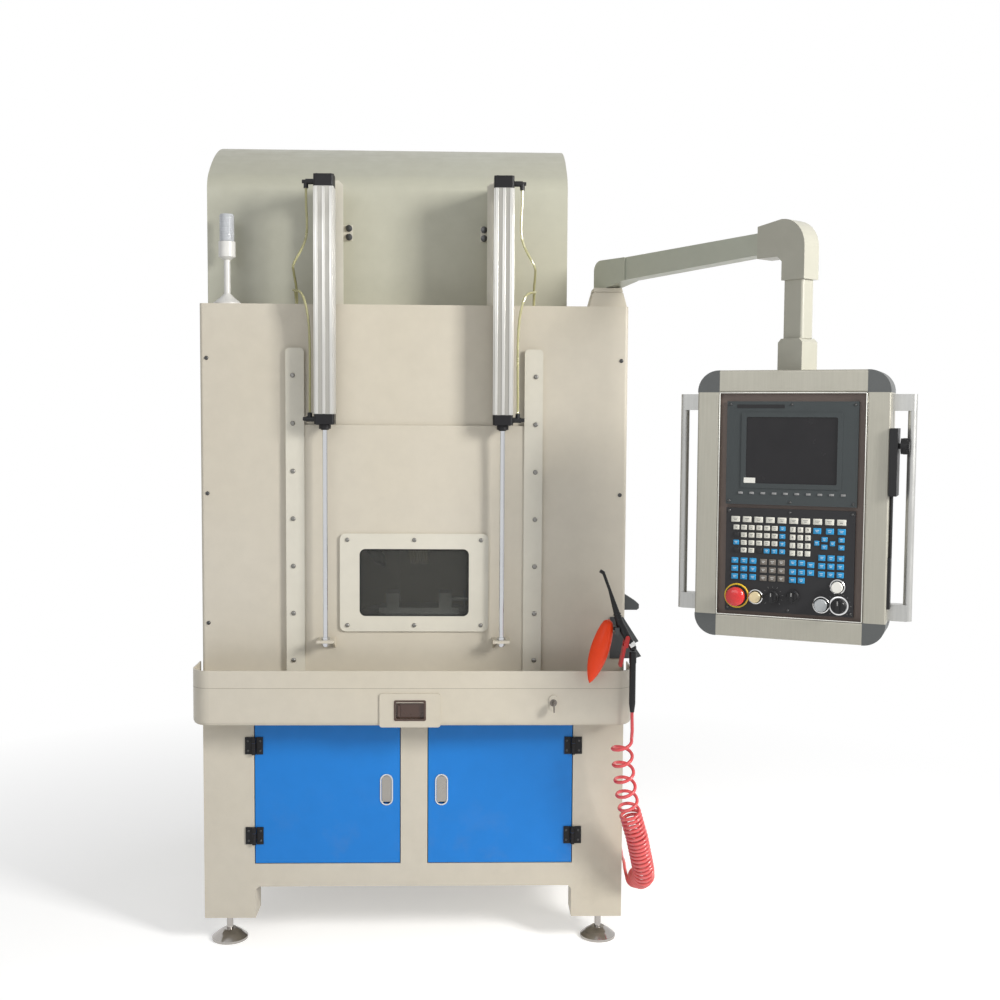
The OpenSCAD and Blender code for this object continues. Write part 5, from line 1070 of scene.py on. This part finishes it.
def cover(piece, spans, r, middle, places, turn):
    """A cover plate with a dark ring of painted seam shade round it, and its screws."""
    (w, h), (x, z), thick, seam = spans, middle, 1.3, 1.2
    put(piece, plate((w, h, r), -thick, (x, 0, z)), 0, turn)
    # Finish 2 on this ring is painted shade, standing for the shadow in the seam's gap
    put(piece, ring_of((w + 2 * seam, h + 2 * seam, r + seam), (w, h, r), -0.3, (x, 0, z)), 2,
        turn)
    for dx, dz in places:
        put(piece, button_screw((x + dx, -thick, z + dz), FRONT, 10), 1, turn)


class OBJECT_OT_machine_covers(bpy.types.Operator):
    """Makes the cover plates at the sides and the back, the outlet's flange and a cable gland"""
    bl_idname = "object.machine_covers"
    bl_label = "Covers"

    def execute(self, context):
        piece = bmesh.new()
        front, back = 150, 860
        w = back - front
        for s in (-1, 1):
            turn = moved(s * BODY_SIDE, 0, 0) @ Matrix.Rotation(s * math.pi / 2, 4, "Z")
            for z0, z1 in ((BASE_TOP + 40, BASE_TOP + 470), (BASE_TOP + 500, BODY_TOP - 40)):
                h = z1 - z0
                places = [(i * (w / 2 - 16), k * (h / 2 - 16)) for i in (-1, 0, 1)
                          for k in (-1, 0, 1) if i or k]
                cover(piece, (w, h), 10, (s * (front + back) / 2, (z0 + z1) / 2), places, turn)
        turn = moved(0, BODY_BACK, 0) @ Matrix.Rotation(math.pi, 4, "Z")
        places = [(x, z) for x in (-364, -121, 121, 364) for z in (-219, 219)]
        places += [(x, z) for x in (-364, 364) for z in (-73, 73)]
        cover(piece, (760, 470), 12, (0, BASE_TOP + 330), places, turn)
        flange = [(57, 0), (80, 0), (80, 1.6), (79, 2.4), (57, 2.4), (57, 0)]
        outlet_z, bolt_r = 1330, 70
        put(piece, turned(flange, (0, BODY_BACK, outlet_z), BACK, 48))
        for k in range(6):
            a = math.radians(60 * k + 30)
            put(piece, button_screw((bolt_r * math.cos(a), BODY_BACK + 2.4,
                                     outlet_z + bolt_r * math.sin(a)), BACK, 9), 1)
        gland = [(0, 0), (15, 0), (15, 6), (12, 8), (12, 16), (9, 20), (0, 20), (0, 0)]
        put(piece, turned(gland, (330, BODY_BACK, 330), BACK, 6), 3)
        seam = coated("Seam shade", (0.2, 0.18, 0.14), 0.6, bump=0.0)
        make("service_covers", piece, [cream(), dull_zinc(), seam, black_plastic()],
             "machine")
        return {"FINISHED"}


# Studio

def seen_rays(tree):
    """One where the camera sees a place straight, in a mirror or through glass."""
    rays = add(tree, "LightPath").outputs
    seen = maths(tree, "MAXIMUM", rays["Is Camera Ray"], rays["Is Glossy Ray"])
    return maths(tree, "MAXIMUM", seen, rays["Is Transmission Ray"])


def area_light(name, strength, size_x, size_y, place, aim, colour):
    """A rectangular light that points at a place."""
    data = bpy.data.lights.new(name, "AREA")
    data.shape = "RECTANGLE"
    data.energy, data.size, data.size_y, data.color = strength, size_x, size_y, colour
    made = bpy.data.objects.new(name, data)
    made.location = place
    made.rotation_euler = (Vector(aim) - Vector(place)).to_track_quat("-Z", "Y").to_euler()
    bpy.context.scene.collection.objects.link(made)


class OBJECT_OT_machine_studio(bpy.types.Operator):
    """Makes the camera, the floor, the lights and the room"""
    bl_idname = "object.machine_studio"
    bl_label = "Studio"

    def execute(self, context):
        scene = context.scene
        light = scene.machine_studio
        data = bpy.data.cameras.new("Camera")
        data.lens, data.sensor_width, data.sensor_fit = 45.36, 36.0, "HORIZONTAL"
        data.clip_start, data.clip_end = 0.05, 100
        camera = bpy.data.objects.new("Camera", data)
        yaw, pitch, roll = math.radians(1.67), math.radians(3.80), math.radians(0.36)
        ahead = Vector((math.sin(yaw), math.cos(yaw), 0))
        right = Vector((math.cos(yaw), -math.sin(yaw), 0))
        up = Vector((0, 0, 1)) * math.cos(pitch) + ahead * math.sin(pitch)
        ahead = ahead * math.cos(pitch) - Vector((0, 0, 1)) * math.sin(pitch)
        right, up = (right * math.cos(roll) + up * math.sin(roll),
                     up * math.cos(roll) - right * math.sin(roll))
        place = Matrix((right, up, -ahead)).transposed().to_4x4()
        place.translation = Vector((0.575, -3.074, 1.298))
        camera.matrix_world = place
        scene.collection.objects.link(camera)
        scene.camera = camera

        floor_mesh = bmesh.new()
        bmesh.ops.create_grid(floor_mesh, x_segments=4, y_segments=4, size=30)
        mesh = bpy.data.meshes.new("floor")
        floor_mesh.to_mesh(mesh)
        floor_mesh.free()
        floor = bpy.data.objects.new("floor", mesh)
        floor.location = (0.5, 0, CAD_BOX[0].z - 0.0005)
        scene.collection.objects.link(floor)
        pale = bpy.data.materials.new("Pale floor")
        pale.use_nodes = True
        tree = pale.node_tree
        base = tree.nodes["Principled BSDF"]
        feed(base, {"Base Color": (0.93, 0.93, 0.93, 1), "Roughness": 0.8,
                    "Specular IOR Level": 0.1})
        seen = seen_rays(tree)
        away = add(tree, "VectorMath", {0: add(tree, "TexCoord").outputs["Object"]},
                   operation="LENGTH").outputs["Value"]
        fade = maths(tree, "MULTIPLY", ranged(tree, away, 1.0, 2.6, 0.0, 1.0), seen)
        glow = add(tree, "Emission", {"Color": (1, 1, 1, 1),
                                      "Strength": maths(tree, "MULTIPLY", seen, 0.37)})
        near = add(tree, "AddShader", {0: base.outputs[0], 1: glow.outputs[0]})
        white = add(tree, "Emission", {"Color": (1, 1, 1, 1), "Strength": 1.0})
        mixed = add(tree, "MixShader", {0: fade, 1: near.outputs[0], 2: white.outputs[0]})
        feed(tree.nodes["Material Output"], {"Surface": mixed.outputs[0]})
        mesh.materials.append(pale)

        area_light("Side light", light.key_power, 0.9, 1.1, (3.5, -2.5, 2.45), (0.5, 0.1, 1.1),
                   (1.0, 0.985, 0.96))
        area_light("Front light", light.fill_power, 2.6, 1.6, (-1.0, -3.6, 2.6), (0.5, 0.0, 0.9),
                   (0.97, 0.985, 1.0))

        world = bpy.data.worlds.new("Room")
        scene.world = world
        world.use_nodes = True
        tree = world.node_tree
        tree.nodes.clear()
        lit = add(tree, "Background", {"Color": (0.98, 0.99, 1.0, 1), "Strength": light.sky})
        white = add(tree, "Background", {"Color": (1, 1, 1, 1), "Strength": 1.0})
        mix = add(tree, "MixShader", {0: seen_rays(tree), 1: lit.outputs[0], 2: white.outputs[0]})
        feed(add(tree, "OutputWorld"), {"Surface": mix.outputs[0]})
        scene.view_settings.view_transform = "Standard"
        return {"FINISHED"}


class VIEW3D_PT_machine(bpy.types.Panel):
    """Lists the machine's settings and its steps"""
    bl_label = "Rotary polishing machine"
    bl_space_type = "VIEW_3D"
    bl_region_type = "UI"
    bl_category = "Polisher"

    def draw(self, context):
        for settings in (context.scene.machine_colours, context.scene.machine_sizes,
                         context.scene.machine_studio):
            box = self.layout.box()
            for name in settings.__annotations__:
                box.prop(settings, name)
        for step in STEPS:
            self.layout.operator(step.bl_idname)


STEPS = (
    OBJECT_OT_machine_studio, OBJECT_OT_machine_finishes, OBJECT_OT_machine_hose,
    OBJECT_OT_machine_fasteners, OBJECT_OT_machine_fold_shade, OBJECT_OT_machine_door_fittings,
    OBJECT_OT_machine_keys, OBJECT_OT_machine_display, OBJECT_OT_machine_controls,
    OBJECT_OT_machine_gun, OBJECT_OT_machine_lamp, OBJECT_OT_machine_cylinders,
    OBJECT_OT_machine_covers,
)
SETTINGS = (("machine_colours", MachineColours), ("machine_sizes", MachineSizes),
            ("machine_studio", MachineStudio))


def register():
    for name, kind in SETTINGS:
        bpy.utils.register_class(kind)
        setattr(bpy.types.Scene, name, bpy.props.PointerProperty(type=kind))
    for step in STEPS:
        bpy.utils.register_class(step)
    bpy.utils.register_class(VIEW3D_PT_machine)


def unregister():
    bpy.utils.unregister_class(VIEW3D_PT_machine)
    for step in reversed(STEPS):
        bpy.utils.unregister_class(step)
    for name, kind in reversed(SETTINGS):
        delattr(bpy.types.Scene, name)
        bpy.utils.unregister_class(kind)


def main():
    register()
    for step in STEPS:
        group, name = step.bl_idname.split(".")
        getattr(getattr(bpy.ops, group), name)()
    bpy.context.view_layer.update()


if __name__ == "__main__":
    main()
